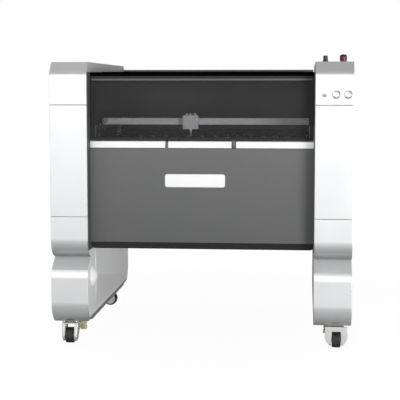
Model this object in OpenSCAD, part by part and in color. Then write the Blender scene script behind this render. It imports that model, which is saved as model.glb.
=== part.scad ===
// Cabinet laser engraving machine on casters.
// X runs across the front, Y runs from the front to the back, Z is up.
// The origin is on the floor, at the middle of the machine.
// Inside the modules, depths are counted from the front plane of the side covers.

/* [Overall] */
// Width over both side covers
machine_width = 1080; // [880:10:1400]
// Depth of the side covers
cover_depth = 980; // [850:10:1200]
// Height of the side covers above the floor
cover_height = 1030; // [940:10:1250]
// Height of the underside of the side covers above the floor
ground_clearance = 83; // [78:1:100]

/* [Side covers] */
// Width of one side cover
cover_width = 135; // [125:1:180]
// Thickness of the cover shells
cover_wall = 3; // [2:0.5:5]
// Gap at the seams between two cover sections
seam_gap = 0.8; // [0.4:0.1:0.9]
// Height of the cap section, from its seam to the top
cap_height = 153; // [130:1:180]
// Height of the seam between the middle and the leg section
leg_seam_height = 476; // [430:1:520]
// Bevel between the top and the front
top_bevel = 40; // [20:1:60]
// Depth of the low step at the back of the cap
rear_step_depth = 95; // [80:1:130]
// Drop of the low step at the back of the cap
rear_step_drop = 14; // [8:1:20]
// Bevel at the back of the low step
rear_bevel = 55; // [30:1:70]
// Radius that rounds the upper front under itself
waist_radius = 70; // [50:1:80]
// Height of the waist notch
waist_height = 325; // [318:1:330]
// Radius of the front of the leg bulge
bulge_radius = 72; // [60:1:80]
// Height of the centre of the leg bulge
bulge_height = 250; // [245:1:258]
// Height of the crease above the leg bulge
crease_height = 283; // [275:1:290]
// Radius under the front of the leg
toe_radius = 80; // [60:1:90]
// Radius under the back of the leg
heel_radius = 90; // [60:1:120]
// Width of the rim around the open inner side of a cover
cover_rim = 16; // [10:1:24]

/* [Body] */
// Thickness of the side plates
side_plate_wall = 3; // [2:0.5:4]
// Thickness of the folded body sheets
sheet = 2; // [1.5:0.5:3]
// Setback of the front panel behind the front of the covers
front_setback = 50; // [35:1:70]
// Setback of the back panel
rear_setback = 50; // [45:1:80]
// Height of the body's underside above the floor
body_bottom = 354; // [348:1:380]
// Bevel along the bottom of the front panel
panel_bevel = 28; // [15:1:40]
// Drop from the cover tops to the body top
body_top_drop = 36; // [30:1:50]
// Height of the sill strips
sill_height = 25; // [18:1:32]
// Thickness of the lid edge
lid_edge = 14; // [12:1:18]
// Height of the lid rail above the window
top_rail = 18; // [12:1:24]
// Height of the window opening, with the rail under it
window_height = 214; // [180:1:260]
// Depth of the bay behind the work chamber
rear_bay = 280; // [250:5:320]
// Height of the chamber floor below the bed top
scrap_depth = 90; // [70:1:120]

/* [Nameplate] */
// Width of the blank nameplate
nameplate_width = 216; // [120:1:260]
// Height of the blank nameplate
nameplate_height = 47; // [30:1:70]
// Thickness of the blank nameplate
nameplate_thick = 2; // [1:0.5:3]

/* [Lid] */
// Side gap between the lid and the side plates
lid_gap = 2; // [1:0.5:4]
// Width of the lid frame beside the window
window_border = 10; // [8:1:24]
// Thickness of the window sheet
window_thick = 3; // [2:0.5:5]
// Radius of a hinge knuckle
knuckle_radius = 4; // [3.5:0.5:5]
// Radius of a hinge pin
hinge_pin_radius = 2; // [1.5:0.25:2.5]

/* [Bed] */
// Height of the bed top below the sill top
bed_drop = 3; // [1:0.5:10]
// Height of the knife slats
slat_height = 20; // [14:1:26]
// Thickness of a knife slat
slat_thick = 2; // [1.5:0.5:4]
// Distance between knife slats
slat_pitch = 50; // [30:1:80]
// Width of the bed frame's tube
bed_tube = 20; // [15:1:25]

/* [Motion] */
// Height of the laser path above the sill top
optic_height = 69.5; // [66:0.5:78]
// Height of the beam's section
beam_height = 24; // [22:1:26]
// Depth of the beam's section
beam_depth = 40; // [36:1:50]
// Depth of the beam's front face behind the front of the covers
beam_front = 220; // [170:5:450]
// Radius of the long drive pulleys
y_pulley_radius = 10; // [8:0.5:12]
// Radius of the cross drive pulleys
x_pulley_radius = 6; // [5:0.5:7]
// Thickness of the toothed belts
belt_thick = 1.7; // [1:0.1:2]
// Width of the long drive belts
y_belt_width = 8; // [6:1:10]
// Width of the cross drive belt
x_belt_width = 6; // [5:1:8]
// Radius of the drive shaft and its stub axles
shaft_radius = 4; // [3:0.5:5]
// Width of the laser head
head_width = 56; // [44:1:64]
// Place of the laser head from the middle of the machine
head_x = -53; // [-150:0.5:150]
// Radius of the focus tube
focus_radius = 7; // [5:0.5:8]

/* [Laser bay] */
// Radius of the laser tube
tube_radius = 25; // [20:1:35]
// Radius of the exhaust collar
collar_radius = 75; // [50:1:80]
// Height of the exhaust collar's centre
collar_height = 560; // [500:5:620]

/* [Controls] */
// Radius of the button rings
ring_radius = 15; // [13:0.5:16]
// Radius of the buttons
button_radius = 11; // [9:0.5:11]
// Height of the button row below the cap top
button_drop = 115.5; // [100:0.5:125]
// Radius of the emergency stop's mushroom
estop_radius = 13; // [12:0.5:16]
// Depth of the top controls behind the front of the covers
control_depth = 75; // [60:1:100]

/* [Casters] */
// Radius of a caster wheel
wheel_radius = 29; // [25:1:30]
// Width of a caster tyre
tyre_width = 31; // [28:1:36]
// Offset of a wheel from its swivel axis
caster_trail = 22; // [15:1:26]
// Width of a caster fork
fork_width = 60; // [56:1:76]
// Radius of a levelling foot
foot_radius = 13; // [10:1:14]

/* [Hidden] */
$fn = 48;

// Fits
running = 0.3;
turning = 0.05;
over = 1;

// Colours
cover_white = [0.93, 0.94, 0.94];
panel_grey = [0.40, 0.41, 0.41];
lid_black = [0.09, 0.09, 0.10];
steel = [0.66, 0.67, 0.68];
alloy = [0.76, 0.77, 0.78];
rubber = [0.08, 0.08, 0.08];

// Widths
inner_face = machine_width / 2 - cover_width;
body_half = inner_face - side_plate_wall;
outer_face = machine_width / 2;

// Heights
body_top = cover_height - body_top_drop;
lid_under = body_top - lid_edge;
window_top = lid_under - top_rail;
sill_top = window_top - window_height;
sill_bottom = sill_top - sill_height;
lid_bottom = sill_top + 2;
bottom_rail = 8;
bed_top = sill_top - bed_drop;
tub_floor = bed_top - scrap_depth;
cap_seam_height = cover_height - cap_height;
step_height = cover_height - rear_step_drop;

// Depths
cap_rear = cover_depth - rear_step_depth;
body_rear = cover_depth - rear_setback;
chamber_rear = cover_depth - rear_bay;
sill_front = front_setback - 1;
sill_depth = 30;
ridge_drop = 2;
ridge_bevel = 15;
back_seam = body_top - 100;
tub_front = front_setback + sill_depth - sheet;
panel_flange = 35;
pan_front = front_setback + panel_bevel + panel_flange;
lid_ring = 14;

// Side covers
bevel_shift = tan(22.5);
slope_run = waist_radius - (bulge_radius - sqrt(pow(bulge_radius, 2) - pow(crease_height - bulge_height, 2)));
slope_start = waist_radius - slope_run;
slope_rise = (waist_height - crease_height) / slope_run;
waist_centre = waist_height + waist_radius;

// Gaps between sill strips, as [middle, width]
sill_joint = [-124.3, 11];
strap_half = 11;
sill_notch = [116.7, 16];
catch_side_gap = 2;

// Bearings, rails and the long drive
bearing_width = 16;
bearing_half = 11;
drive_height = bed_top + 21.3;
idler_depth = front_setback + 40;
drive_depth = chamber_rear - 18;
belt_centre_x = body_half - 22;
rail_width = 12;
rail_top = sill_top + 47.5;
rail_height = 12;
rail_front = idler_depth + 16;
rail_rear = chamber_rear - 35;
carriage_plate = 6;
beam_bottom = rail_top + running + carriage_plate;
beam_top = beam_bottom + beam_height;
beam_half = body_half - 18;
beam_rear = beam_front + beam_depth;
beam_wall = 3;
carriage_length = 70;
y_belt_inner = y_pulley_radius + running;
y_belt_outer = y_belt_inner + belt_thick;
y_pulley_half = y_belt_width / 2 + 1;

// Cross drive
x_belt_inner = x_pulley_radius + running;
x_belt_outer = x_belt_inner + belt_thick;
x_pulley_x = body_half - 50;
x_drive_height = beam_bottom + beam_height / 2;
x_belt_front = beam_rear + 3;
x_stub_radius = 2.5;
x_motor_size = 42;
x_motor_front = x_belt_front + x_belt_width + 3;

// Bed frame
bed_half = body_half - 17;
bed_front = tub_front + 17;
bed_rear = chamber_rear - 35;

// Head and optics
optic_z = sill_top + optic_height;
head_depth = 23;
head_back = beam_front - running;
optic_depth = head_back - head_depth / 2;
head_bottom = optic_z - 32;
head_top = optic_z + 19;
mirror_x = body_half - 30;
nozzle_tip = bed_top + 15;
path_radius = 6;

// Inlet and vents in the back, as x and height
inlet = [102 - body_half, 434];
inlet_half = [24, 14];
inlet_flange_half = [34, 18];
inlet_socket_half = [12, 8];
vent_count = 9;
vent_pitch = 14;
vent_slot = 6;
vent_base = 420;
vent_x = [body_half - 202, body_half - 82];
tub_slot_pitch = 51;
tub_slot_half = 12;
tub_sheet = 1.5;

// Boxes on the body's floor, as [x, depth, 0] and size
supply_place = [80, 250, 0];
supply_size = [170, 250, 110];
controller_place = [-280, 250, 0];
controller_size = [220, 200, 90];

// Bay
tube_depth = chamber_rear + 115;
clamp_wall = 7;
clamp_width = 20;
clamp_spacing = 440;

// Hinge
hinge_depth = chamber_rear + 6;
hinge_height = body_top + knuckle_radius + 1;
hinge_length = 90;
hinge_count = 3;
hinge_spacing = body_half - 100;
knuckle_gap = 0.5;
knuckle_length = hinge_length / 3;
leaf_thick = 2;
leaf_reach = 30;
lid_rear = hinge_depth - 3;
lid_half = body_half - lid_gap;

// Controls
button_height = cover_height - button_drop;
button_x = [outer_face - 62.5, outer_face - 21];
pilot_x = outer_face - 103.4;
pilot_height = button_height - 3.6;
estop_x = outer_face - 37;
selector_x = outer_face - 100;
control_proud = 2;
sleeve_wall = 2;
barrel_length = 28;
estop_barrel_radius = 11;
estop_stem_radius = 5;
estop_collar = 1.5;
estop_height = 26;
selector_barrel_radius = 8;
selector_stem_radius = 4;
selector_collar = 4;
selector_height = 22;
pilot_radius = 5.5;
pilot_half_span = 2.5;

// Leg frames
frame_tube = 40;
frame_gap = cover_wall + 1;
frame_front = 95;
frame_rear = cover_depth - 105;

// Casters
caster_x = outer_face - 52;
caster_depths = [107, cover_depth - 110];
kingpin_radius = 5;
fork_top = ground_clearance - 7.3;
fork_plate = 5;
fork_cheek = 9;
fork_taper = 22;
wheel_slot = tyre_width / 2 + 1.5;
axle_boss = 22;
foot_x = caster_x - 33;
foot_offset = 68;
front_turn = 180;
rear_left_turn = -90;
plate_half = 30;
plate_thick = 3;
race_radius = 19;
fork_front = -24;
fork_back = caster_trail + 8;
hub_radius = 9;
foot_height = 34;
foot_thick = 16;
foot_stem_radius = 10;

// ---------- Helpers ----------

module placed() {
    translate([0, -cover_depth / 2, 0]) children();
}

// Extrudes a drawing of depth and height along X.
module along_x(x0, x1) {
    translate([x0, 0, 0]) rotate([90, 0, 90]) linear_extrude(height = x1 - x0) children();
}

// A rod along X at a depth and a height.
module rod_x(x0, x1, depth, height, radius) {
    translate([x0, depth, height]) rotate([0, 90, 0]) cylinder(r = radius, h = x1 - x0);
}

// A rod along Y at an x and a height.
module rod_y(d0, d1, x, height, radius) {
    translate([x, d0, height]) rotate([-90, 0, 0]) cylinder(r = radius, h = d1 - d0);
}

// A rod along Z at an x and a depth.
module rod_z(z0, z1, x, depth, radius) {
    translate([x, depth, z0]) cylinder(r = radius, h = z1 - z0);
}

// A block between two corners.
module block(low, high) {
    translate(low) cube(high - low);
}

module mirrored_pair() {
    children();
    mirror([1, 0, 0]) children();
}

function unit(v) = v / norm(v);
function side_of(a, b) = let (u = unit(b - a)) [-u[1], u[0]];

// The point beside corner i of a folded line, at sheet thickness t.
function folded_point(p, i, t) =
    let (
        last = len(p) - 1,
        before = side_of(p[max(i - 1, 0)], p[max(i, 1)]),
        after = side_of(p[min(i, last - 1)], p[min(i + 1, last)])
    ) p[i] + t * (before + after) / (1 + before * after);

// A sheet folded along the line p, with its thickness on the left of the line.
module folded_sheet(p, t) {
    polygon(concat(p, [for (i = [len(p) - 1 : -1 : 0]) folded_point(p, i, t)]));
}

module rounded_plate(width, height, radius) {
    square([width - 2 * radius, height], center = true);
    square([width, height - 2 * radius], center = true);
    for (sx = [-1, 1], sy = [-1, 1])
        translate([sx * (width / 2 - radius), sy * (height / 2 - radius)]) circle(r = radius);
}

module belt_loop(centre_a, centre_b, radius) {
    translate(centre_a) circle(r = radius);
    translate(centre_b) circle(r = radius);
    translate([centre_a[0], centre_a[1] - radius]) square([centre_b[0] - centre_a[0], 2 * radius]);
}

// ---------- Side covers ----------

function slope_height(depth, inset) =
    crease_height + slope_rise * (depth - slope_start) - inset * sqrt(1 + slope_rise * slope_rise);

// Side view of a whole side cover, moved inwards by inset.
module cover_outline(inset) {
    top = cover_height - inset;
    step = step_height - inset;
    low = ground_clearance + inset;
    rear = cover_depth - inset;
    core = waist_radius + inset;
    toe = ground_clearance + toe_radius;
    heel = ground_clearance + heel_radius;
    polygon([
        [inset, toe],
        [inset, bulge_height],
        [core, bulge_height],
        [core, waist_centre],
        [inset, waist_centre],
        [inset, cover_height - top_bevel - bevel_shift * inset],
        [top_bevel + bevel_shift * inset, top],
        [cap_rear - inset, top],
        [cap_rear - inset, step],
        [cover_depth - rear_bevel - bevel_shift * inset, step],
        [rear, step_height - rear_bevel - bevel_shift * inset],
        [rear, heel],
        [cover_depth - heel_radius, heel],
        [cover_depth - heel_radius, low],
        [toe_radius, low],
        [toe_radius, toe]
    ]);
    translate([waist_radius, waist_centre]) circle(r = waist_radius - inset);
    translate([toe_radius, toe]) circle(r = toe_radius - inset);
    translate([cover_depth - heel_radius, heel]) circle(r = heel_radius - inset);
    intersection() {
        polygon([
            [0, slope_height(0, inset)],
            [core + 20, slope_height(core + 20, inset)],
            [core + 20, toe],
            [0, toe]
        ]);
        union() {
            translate([bulge_radius, bulge_height]) circle(r = bulge_radius - inset);
            translate([bulge_radius / 2, bulge_height]) square([core + 20 - bulge_radius / 2, 90]);
        }
    }
}

module cover_slice(inset, z0, z1) {
    intersection() {
        cover_outline(inset);
        translate([-over, z0]) square([cover_depth + 2 * over, z1 - z0]);
    }
}

// One cover section for the right side, hollow and open at its seams.
module cover_section(z0, z1) {
    window_low = max(z0 - over, body_bottom + cover_rim);
    window_high = min(z1 + over, body_top - cover_rim);
    difference() {
        along_x(inner_face, outer_face) cover_slice(0, z0, z1);
        along_x(inner_face + cover_wall, outer_face - cover_wall)
            cover_slice(cover_wall, z0 - over, z1 + over);
        along_x(inner_face - over, inner_face + 2 * cover_wall)
            intersection() {
                cover_outline(cover_rim);
                translate([0, window_low]) square([cover_depth, window_high - window_low]);
            }
    }
}

module cap_section() {
    cover_section(cap_seam_height + seam_gap / 2, cover_height + over);
}

module middle_section() {
    cover_section(leg_seam_height + seam_gap / 2, cap_seam_height - seam_gap / 2);
}

module leg_section() {
    cover_section(0, leg_seam_height - seam_gap / 2);
}

module left_cap() {
    color(cover_white) placed() mirror([1, 0, 0]) cap_section();
}

module left_middle_cover() {
    color(cover_white) placed() mirror([1, 0, 0]) middle_section();
}

module left_leg_cover() {
    color(cover_white) placed() mirror([1, 0, 0]) leg_section();
}

module right_cap() {
    color(cover_white) placed() difference() {
        cap_section();
        for (x = button_x)
            rod_y(-over, 2 * cover_wall, x, button_height, button_radius + running + sleeve_wall + running);
        translate([0, -over, 0]) pilot_body(running, 2 * cover_wall);
        translate([0, 0, cover_height - 2 * cover_wall]) {
            rod_z(0, 3 * cover_wall, estop_x, control_depth, estop_barrel_radius + running);
            rod_z(0, 3 * cover_wall, selector_x, control_depth, selector_barrel_radius + running);
        }
    }
}

module right_middle_cover() {
    color(cover_white) placed() middle_section();
}

module right_leg_cover() {
    color(cover_white) placed() leg_section();
}

// ---------- Frames and body ----------

// Welded ladder of square tube inside one leg, with pads that reach the side plate.
module leg_frame() {
    x0 = inner_face + frame_gap;
    x1 = x0 + frame_tube;
    base = ground_clearance + cover_wall;
    top = body_top - 34;
    pad_low = leg_seam_height + 60;
    for (d = [frame_front, frame_rear - frame_tube])
        difference() {
            block([x0, d, base], [x1, d + frame_tube, top]);
            block([x0 + cover_wall, d + cover_wall, base + frame_tube],
                  [x1 - cover_wall, d + frame_tube - cover_wall, top + over]);
        }
    for (z = [base, leg_seam_height - 56, top - frame_tube - 20])
        block([x0, frame_front + frame_tube, z],
              [x1, frame_rear - frame_tube, z + frame_tube / 2]);
    for (d = [frame_front, frame_rear - frame_tube], z = [pad_low, top - 60])
        block([inner_face, d, z], [x0, d + frame_tube, z + 40]);
}

module leg_frames() {
    color(steel) placed() mirrored_pair() leg_frame();
}

module side_plate() {
    difference() {
        along_x(body_half, inner_face) intersection() {
            cover_outline(cover_wall);
            translate([0, body_bottom]) square([cover_depth, body_top - body_bottom]);
        }
        rod_x(body_half - over, inner_face + over, drive_depth, drive_height, shaft_radius + 6);
    }
}

module side_plates() {
    color(panel_grey * 0.6) placed() mirrored_pair() side_plate();
}

module front_panel() {
    color(panel_grey) placed() along_x(-body_half, body_half)
        folded_sheet([
            [tub_front - over, sill_bottom],
            [front_setback, sill_bottom],
            [front_setback, body_bottom + panel_bevel],
            [front_setback + panel_bevel, body_bottom],
            [pan_front, body_bottom]
        ], sheet);
}

module nameplate() {
    nameplate_x = -22.5;
    nameplate_z = (sill_bottom + body_bottom) / 2 + 67;
    color([0.97, 0.97, 0.97]) placed()
        translate([nameplate_x, front_setback, nameplate_z]) rotate([90, 0, 0])
            linear_extrude(height = nameplate_thick) rounded_plate(nameplate_width, nameplate_height, 8);
}

module sill_strip(x0, x1) {
    along_x(x0, x1) folded_sheet([
        [sill_front + sill_depth, sill_top],
        [sill_front, sill_top],
        [sill_front, sill_bottom]
    ], sheet);
}

module sill_strips() {
    color([0.97, 0.97, 0.97]) placed() {
        sill_strip(-body_half, sill_joint[0] - sill_joint[1] / 2);
        sill_strip(sill_joint[0] + sill_joint[1] / 2, sill_notch[0] - sill_notch[1] / 2);
        sill_strip(sill_notch[0] + sill_notch[1] / 2, body_half);
        block([sill_joint[0] - strap_half, sill_front + sheet, sill_bottom + 1],
              [sill_joint[0] + strap_half, sill_front + 2 * sheet, sill_top - 6]);
    }
}

// A block around the power inlet, from its half width and half height.
module inlet_block(d0, d1, half) {
    block([inlet[0] - half[0], d0, inlet[1] - half[1]], [inlet[0] + half[0], d1, inlet[1] + half[1]]);
}

module body_pan() {
    color(panel_grey * 0.8) placed() difference() {
        along_x(-body_half, body_half) folded_sheet([
            [pan_front, body_bottom],
            [body_rear, body_bottom],
            [body_rear, back_seam]
        ], sheet);
        rod_y(body_rear - 10, body_rear + over, 0, collar_height, collar_radius - 4);
        inlet_block(body_rear - 10, body_rear + over, inlet_half);
        for (i = [0 : vent_count - 1])
            block([vent_x[0], body_rear - 10, vent_base + vent_pitch * i],
                  [vent_x[1], body_rear + over, vent_base + vent_pitch * i + vent_slot]);
    }
}

module chamber_tub() {
    slot_count = 2 * floor((body_half - 60) / tub_slot_pitch) + 1;
    color(panel_grey * 0.55) placed() difference() {
        along_x(-body_half, body_half) folded_sheet([
            [tub_front, sill_top - sheet],
            [tub_front, tub_floor],
            [chamber_rear, tub_floor],
            [chamber_rear, lid_under - 5]
        ], tub_sheet);
        for (i = [0 : slot_count - 1])
            translate([(i - (slot_count - 1) / 2) * tub_slot_pitch, 0, 0])
                block([-tub_slot_half, chamber_rear - 10, bed_top + 4],
                      [tub_slot_half, chamber_rear + over, bed_top + 14]);
        rod_y(chamber_rear - 10, chamber_rear + over, -mirror_x, optic_z, path_radius + 4);
    }
}

module tube_cover() {
    color(panel_grey) placed() along_x(-body_half, body_half) folded_sheet([
        [body_rear, back_seam],
        [body_rear, step_height - ridge_drop - ridge_bevel],
        [body_rear - ridge_bevel, step_height - ridge_drop],
        [cap_rear + 4, step_height - ridge_drop],
        [cap_rear + 4, body_top],
        [hinge_depth + 3, body_top],
        [hinge_depth + 3, body_top - 40]
    ], sheet);
}

// ---------- Laser bay and electrics ----------

module laser_tube() {
    tube_half = mirror_x - 40;
    neck = 30;
    color([0.85, 0.80, 0.86]) placed() {
        rod_x(-tube_half + neck, tube_half - neck, tube_depth, optic_z, tube_radius);
        rod_x(-tube_half, -tube_half + neck, tube_depth, optic_z, tube_radius / 2);
        rod_x(tube_half - neck, tube_half, tube_depth, optic_z, tube_radius / 2);
    }
}

module tube_clamp(x) {
    difference() {
        union() {
            rod_x(x - clamp_width / 2, x + clamp_width / 2, tube_depth, optic_z, tube_radius + clamp_wall);
            block([x - clamp_width / 2, chamber_rear, optic_z - 12],
                  [x + clamp_width / 2, tube_depth - tube_radius, optic_z + 12]);
        }
        rod_x(x - clamp_width, x + clamp_width, tube_depth, optic_z, tube_radius + running);
    }
}

module tube_clamps() {
    color(alloy) placed() for (side = [-1, 1]) tube_clamp(side * clamp_spacing / 2);
}

// A mirror turned half a right angle on its bracket, seen from above.
module mirror_disc(x, depth, turn) {
    translate([x, depth, optic_z]) rotate([0, 0, turn]) rotate([0, 90, 0])
        cylinder(r = 11, h = 5, center = true);
}

module tube_mirror() {
    color(alloy) placed() {
        mirror_disc(-mirror_x, tube_depth, 45);
        block([-body_half, tube_depth - 3, optic_z - 14], [-mirror_x - 2, tube_depth + 9, optic_z + 14]);
    }
}

// A closed box that stands on the body's floor.
module floor_box(place, size) {
    translate([0, 0, body_bottom + sheet]) translate(place) cube(size);
}

module laser_power_supply() {
    color(steel) placed() floor_box(supply_place, supply_size);
}

module control_box() {
    color(lid_black * 2) placed() floor_box(controller_place, controller_size);
}

module exhaust_collar() {
    color(steel) placed() difference() {
        union() {
            rod_y(body_rear, cover_depth + control_proud, 0, collar_height, collar_radius);
            rod_y(body_rear, body_rear + 3, 0, collar_height, collar_radius + 16);
        }
        rod_y(body_rear - over, cover_depth + 10, 0, collar_height, collar_radius - 2);
    }
}

module power_inlet() {
    color(rubber * 2) placed() difference() {
        union() {
            inlet_block(body_rear - 26, body_rear, inlet_half);
            inlet_block(body_rear, body_rear + 3, inlet_flange_half);
        }
        inlet_block(body_rear - 14, body_rear + 10, inlet_socket_half);
    }
}

// ---------- Long drive ----------

module y_rails() {
    color(steel) placed() mirrored_pair()
        block([body_half - rail_width, rail_front, rail_top - rail_height], [body_half, rail_rear, rail_top]);
}

module y_motor() {
    size = 57;
    color(rubber * 2) placed() difference() {
        block([inner_face, drive_depth - size / 2, drive_height - size / 2],
              [inner_face + 56, drive_depth + size / 2, drive_height + size / 2]);
        rod_x(inner_face - over, inner_face + 12, drive_depth, drive_height, shaft_radius + turning);
    }
}

module y_belt() {
    along_x(belt_centre_x - y_belt_width / 2, belt_centre_x + y_belt_width / 2) difference() {
        belt_loop([idler_depth, drive_height], [drive_depth, drive_height], y_belt_outer);
        belt_loop([idler_depth, drive_height], [drive_depth, drive_height], y_belt_inner);
    }
}

module y_belts() {
    color(rubber) placed() mirrored_pair() y_belt();
}

module shaft_bearing(depth, top) {
    difference() {
        block([body_half - bearing_width, depth - bearing_half, bed_top + 1],
              [body_half, depth + bearing_half, top]);
        rod_x(body_half - bearing_width - over, body_half + over,
              depth, drive_height, shaft_radius + turning);
    }
}

module shaft_bearings() {
    color(alloy) placed() mirrored_pair() {
        shaft_bearing(idler_depth, rail_top + 7);
        shaft_bearing(drive_depth, drive_height + 14);
    }
}

module y_drive_shaft() {
    color(steel) placed() {
        rod_x(-inner_face, inner_face + 10, drive_depth, drive_height, shaft_radius);
        for (x = [-belt_centre_x, belt_centre_x])
            rod_x(x - y_pulley_half, x + y_pulley_half, drive_depth, drive_height, y_pulley_radius);
    }
}

module y_idler_pulleys() {
    color(steel) placed() mirrored_pair() {
        rod_x(belt_centre_x - y_pulley_half - 2, inner_face - 5, idler_depth, drive_height, shaft_radius);
        rod_x(belt_centre_x - y_pulley_half, belt_centre_x + y_pulley_half,
              idler_depth, drive_height, y_pulley_radius);
    }
}

// ---------- Bed ----------

module bed_frame() {
    low = bed_top - slat_height - 10;
    lug = 40;
    color(alloy) placed() {
        difference() {
            block([-bed_half, bed_front, low], [bed_half, bed_rear, bed_top]);
            block([bed_tube - bed_half, bed_front + bed_tube, low - over],
                  [bed_half - bed_tube, bed_rear - bed_tube, bed_top + over]);
        }
        mirrored_pair() for (d = [bed_front + lug, bed_rear - 2 * lug])
            block([bed_half, d, low], [body_half, d + lug, low + 12]);
    }
}

module bed_slats() {
    slat_count = 2 * floor((bed_half - bed_tube - 5) / slat_pitch) + 1;
    color(steel * 0.7) placed() for (i = [0 : slat_count - 1])
        translate([(i - (slat_count - 1) / 2) * slat_pitch, 0, 0])
            block([-slat_thick / 2, bed_front + bed_tube, bed_top - slat_height],
                  [slat_thick / 2, bed_rear - bed_tube, bed_top]);
}

// ---------- Gantry and head ----------

module x_beam() {
    color(alloy) placed() difference() {
        block([-beam_half, beam_front, beam_bottom], [beam_half, beam_rear, beam_top]);
        block([-beam_half - over, beam_front + beam_wall, beam_bottom + beam_wall],
              [beam_half + over, beam_rear - beam_wall, beam_top - beam_wall]);
        rod_y(beam_rear - beam_wall - over, beam_rear + over,
              -x_pulley_x, x_drive_height, x_stub_radius + turning);
    }
}

module y_carriage() {
    front = beam_front + (beam_depth - carriage_length) / 2;
    block([belt_centre_x - 6.5, front, rail_top + running],
          [body_half - 3, front + carriage_length, beam_bottom]);
    block([belt_centre_x - y_belt_width / 2, beam_front + 5, drive_height + y_belt_outer + running],
          [belt_centre_x + y_belt_width / 2, beam_front + 35, rail_top + running]);
}

module y_carriages() {
    color(steel) placed() mirrored_pair() y_carriage();
}

module x_motor() {
    half = x_motor_size / 2;
    bracket = 3;
    color(rubber * 2) placed() {
        difference() {
            block([x_pulley_x - half, x_motor_front, x_drive_height - half],
                  [x_pulley_x + half, x_motor_front + 40, x_drive_height + half]);
            rod_y(x_motor_front - over, x_motor_front + 12,
                  x_pulley_x, x_drive_height, x_stub_radius + turning);
        }
        block([x_pulley_x + half - bracket, beam_rear, beam_bottom + 2],
              [x_pulley_x + half, x_motor_front, beam_top - 2]);
    }
}

module x_pulley(x, d0, d1) {
    rod_y(d0, d1, x, x_drive_height, x_stub_radius);
    rod_y(x_belt_front - 0.5, x_belt_front + x_belt_width + 0.5, x, x_drive_height, x_pulley_radius);
}

module x_drive_pulley() {
    color(alloy) placed() x_pulley(x_pulley_x, x_belt_front - 1, x_motor_front + 10);
}

module x_idler_pulley() {
    color(alloy) placed() x_pulley(-x_pulley_x, beam_rear - beam_wall - 2, x_belt_front + x_belt_width + 1.5);
}

module x_belt() {
    color(rubber) placed() translate([0, x_belt_front + x_belt_width, 0]) rotate([90, 0, 0])
        linear_extrude(height = x_belt_width) difference() {
            belt_loop([-x_pulley_x, x_drive_height], [x_pulley_x, x_drive_height], x_belt_outer);
            belt_loop([-x_pulley_x, x_drive_height], [x_pulley_x, x_drive_height], x_belt_inner);
        }
}

module beam_mirror() {
    color(alloy) placed() {
        mirror_disc(-mirror_x, optic_depth, -45);
        block([-mirror_x - 12, optic_depth - 4, optic_z - 14], [-mirror_x - 3, beam_front, beam_top]);
    }
}

module laser_head() {
    x0 = head_x - head_width / 2;
    x1 = head_x + head_width / 2;
    color([0.60, 0.61, 0.62]) placed() difference() {
        union() {
            block([x0, head_back - head_depth, head_bottom], [x1, head_back, head_top]);
            block([x0 + 8, head_back, beam_top + running], [x1 - 8, x_belt_front + x_belt_width, head_top]);
            block([x0 + 8, x_belt_front, x_drive_height + x_belt_outer + running],
                  [x1 - 8, x_belt_front + x_belt_width, head_top]);
        }
        rod_z(head_bottom - over, optic_z + 8, head_x, optic_depth, focus_radius + turning);
        rod_x(x0 - over, head_x, optic_depth, optic_z, path_radius);
    }
}

module focus_tube() {
    shoulder = head_bottom - 4;
    color([0.70, 0.70, 0.71]) placed() {
        rod_z(shoulder, optic_z - 10, head_x, optic_depth, focus_radius);
        translate([head_x, optic_depth, nozzle_tip])
            cylinder(r1 = 2.5, r2 = 4.5, h = shoulder - nozzle_tip);
    }
}

// ---------- Lid ----------

module lid_frame() {
    catch_half = sill_notch[1] / 2 - catch_side_gap;
    color(lid_black) placed() {
        difference() {
            union() {
                block([-lid_half, front_setback, lid_under], [lid_half, lid_rear, body_top]);
                block([-lid_half, front_setback + 2, lid_bottom],
                      [lid_half, front_setback + lid_ring, lid_under]);
            }
            block([-lid_half + sheet, front_setback + lid_ring, lid_under - over],
                  [lid_half - sheet, lid_rear - sheet, body_top - sheet]);
            block([-lid_half + window_border, front_setback, lid_bottom + bottom_rail],
                  [lid_half - window_border, front_setback + 2 * lid_ring, window_top]);
        }
        block([sill_notch[0] - catch_half, front_setback + 3, sill_bottom + 2],
              [sill_notch[0] + catch_half, front_setback + 6, lid_bottom]);
    }
}

module lid_window() {
    color([0.22, 0.23, 0.24, 0.6]) placed()
        block([-lid_half + window_border, front_setback + 4, lid_bottom + bottom_rail],
              [lid_half - window_border, front_setback + 4 + window_thick, window_top]);
}

function hinge_x(i) = (i - (hinge_count - 1) / 2) * hinge_spacing;

// The fixed leaf with the middle knuckle and the pin.
module hinge_bases() {
    fixed_half = knuckle_length / 2 - knuckle_gap;
    color(steel) placed() for (i = [0 : hinge_count - 1]) translate([hinge_x(i), 0, 0]) {
        block([-hinge_length / 2, hinge_depth + knuckle_radius, body_top],
              [hinge_length / 2, hinge_depth + leaf_reach, body_top + leaf_thick]);
        block([-fixed_half, hinge_depth, body_top + knuckle_gap],
              [fixed_half, hinge_depth + knuckle_radius + 1, body_top + leaf_thick]);
        rod_x(-fixed_half, fixed_half, hinge_depth, hinge_height, knuckle_radius);
        rod_x(-hinge_length / 2, hinge_length / 2, hinge_depth, hinge_height, hinge_pin_radius);
    }
}

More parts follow.
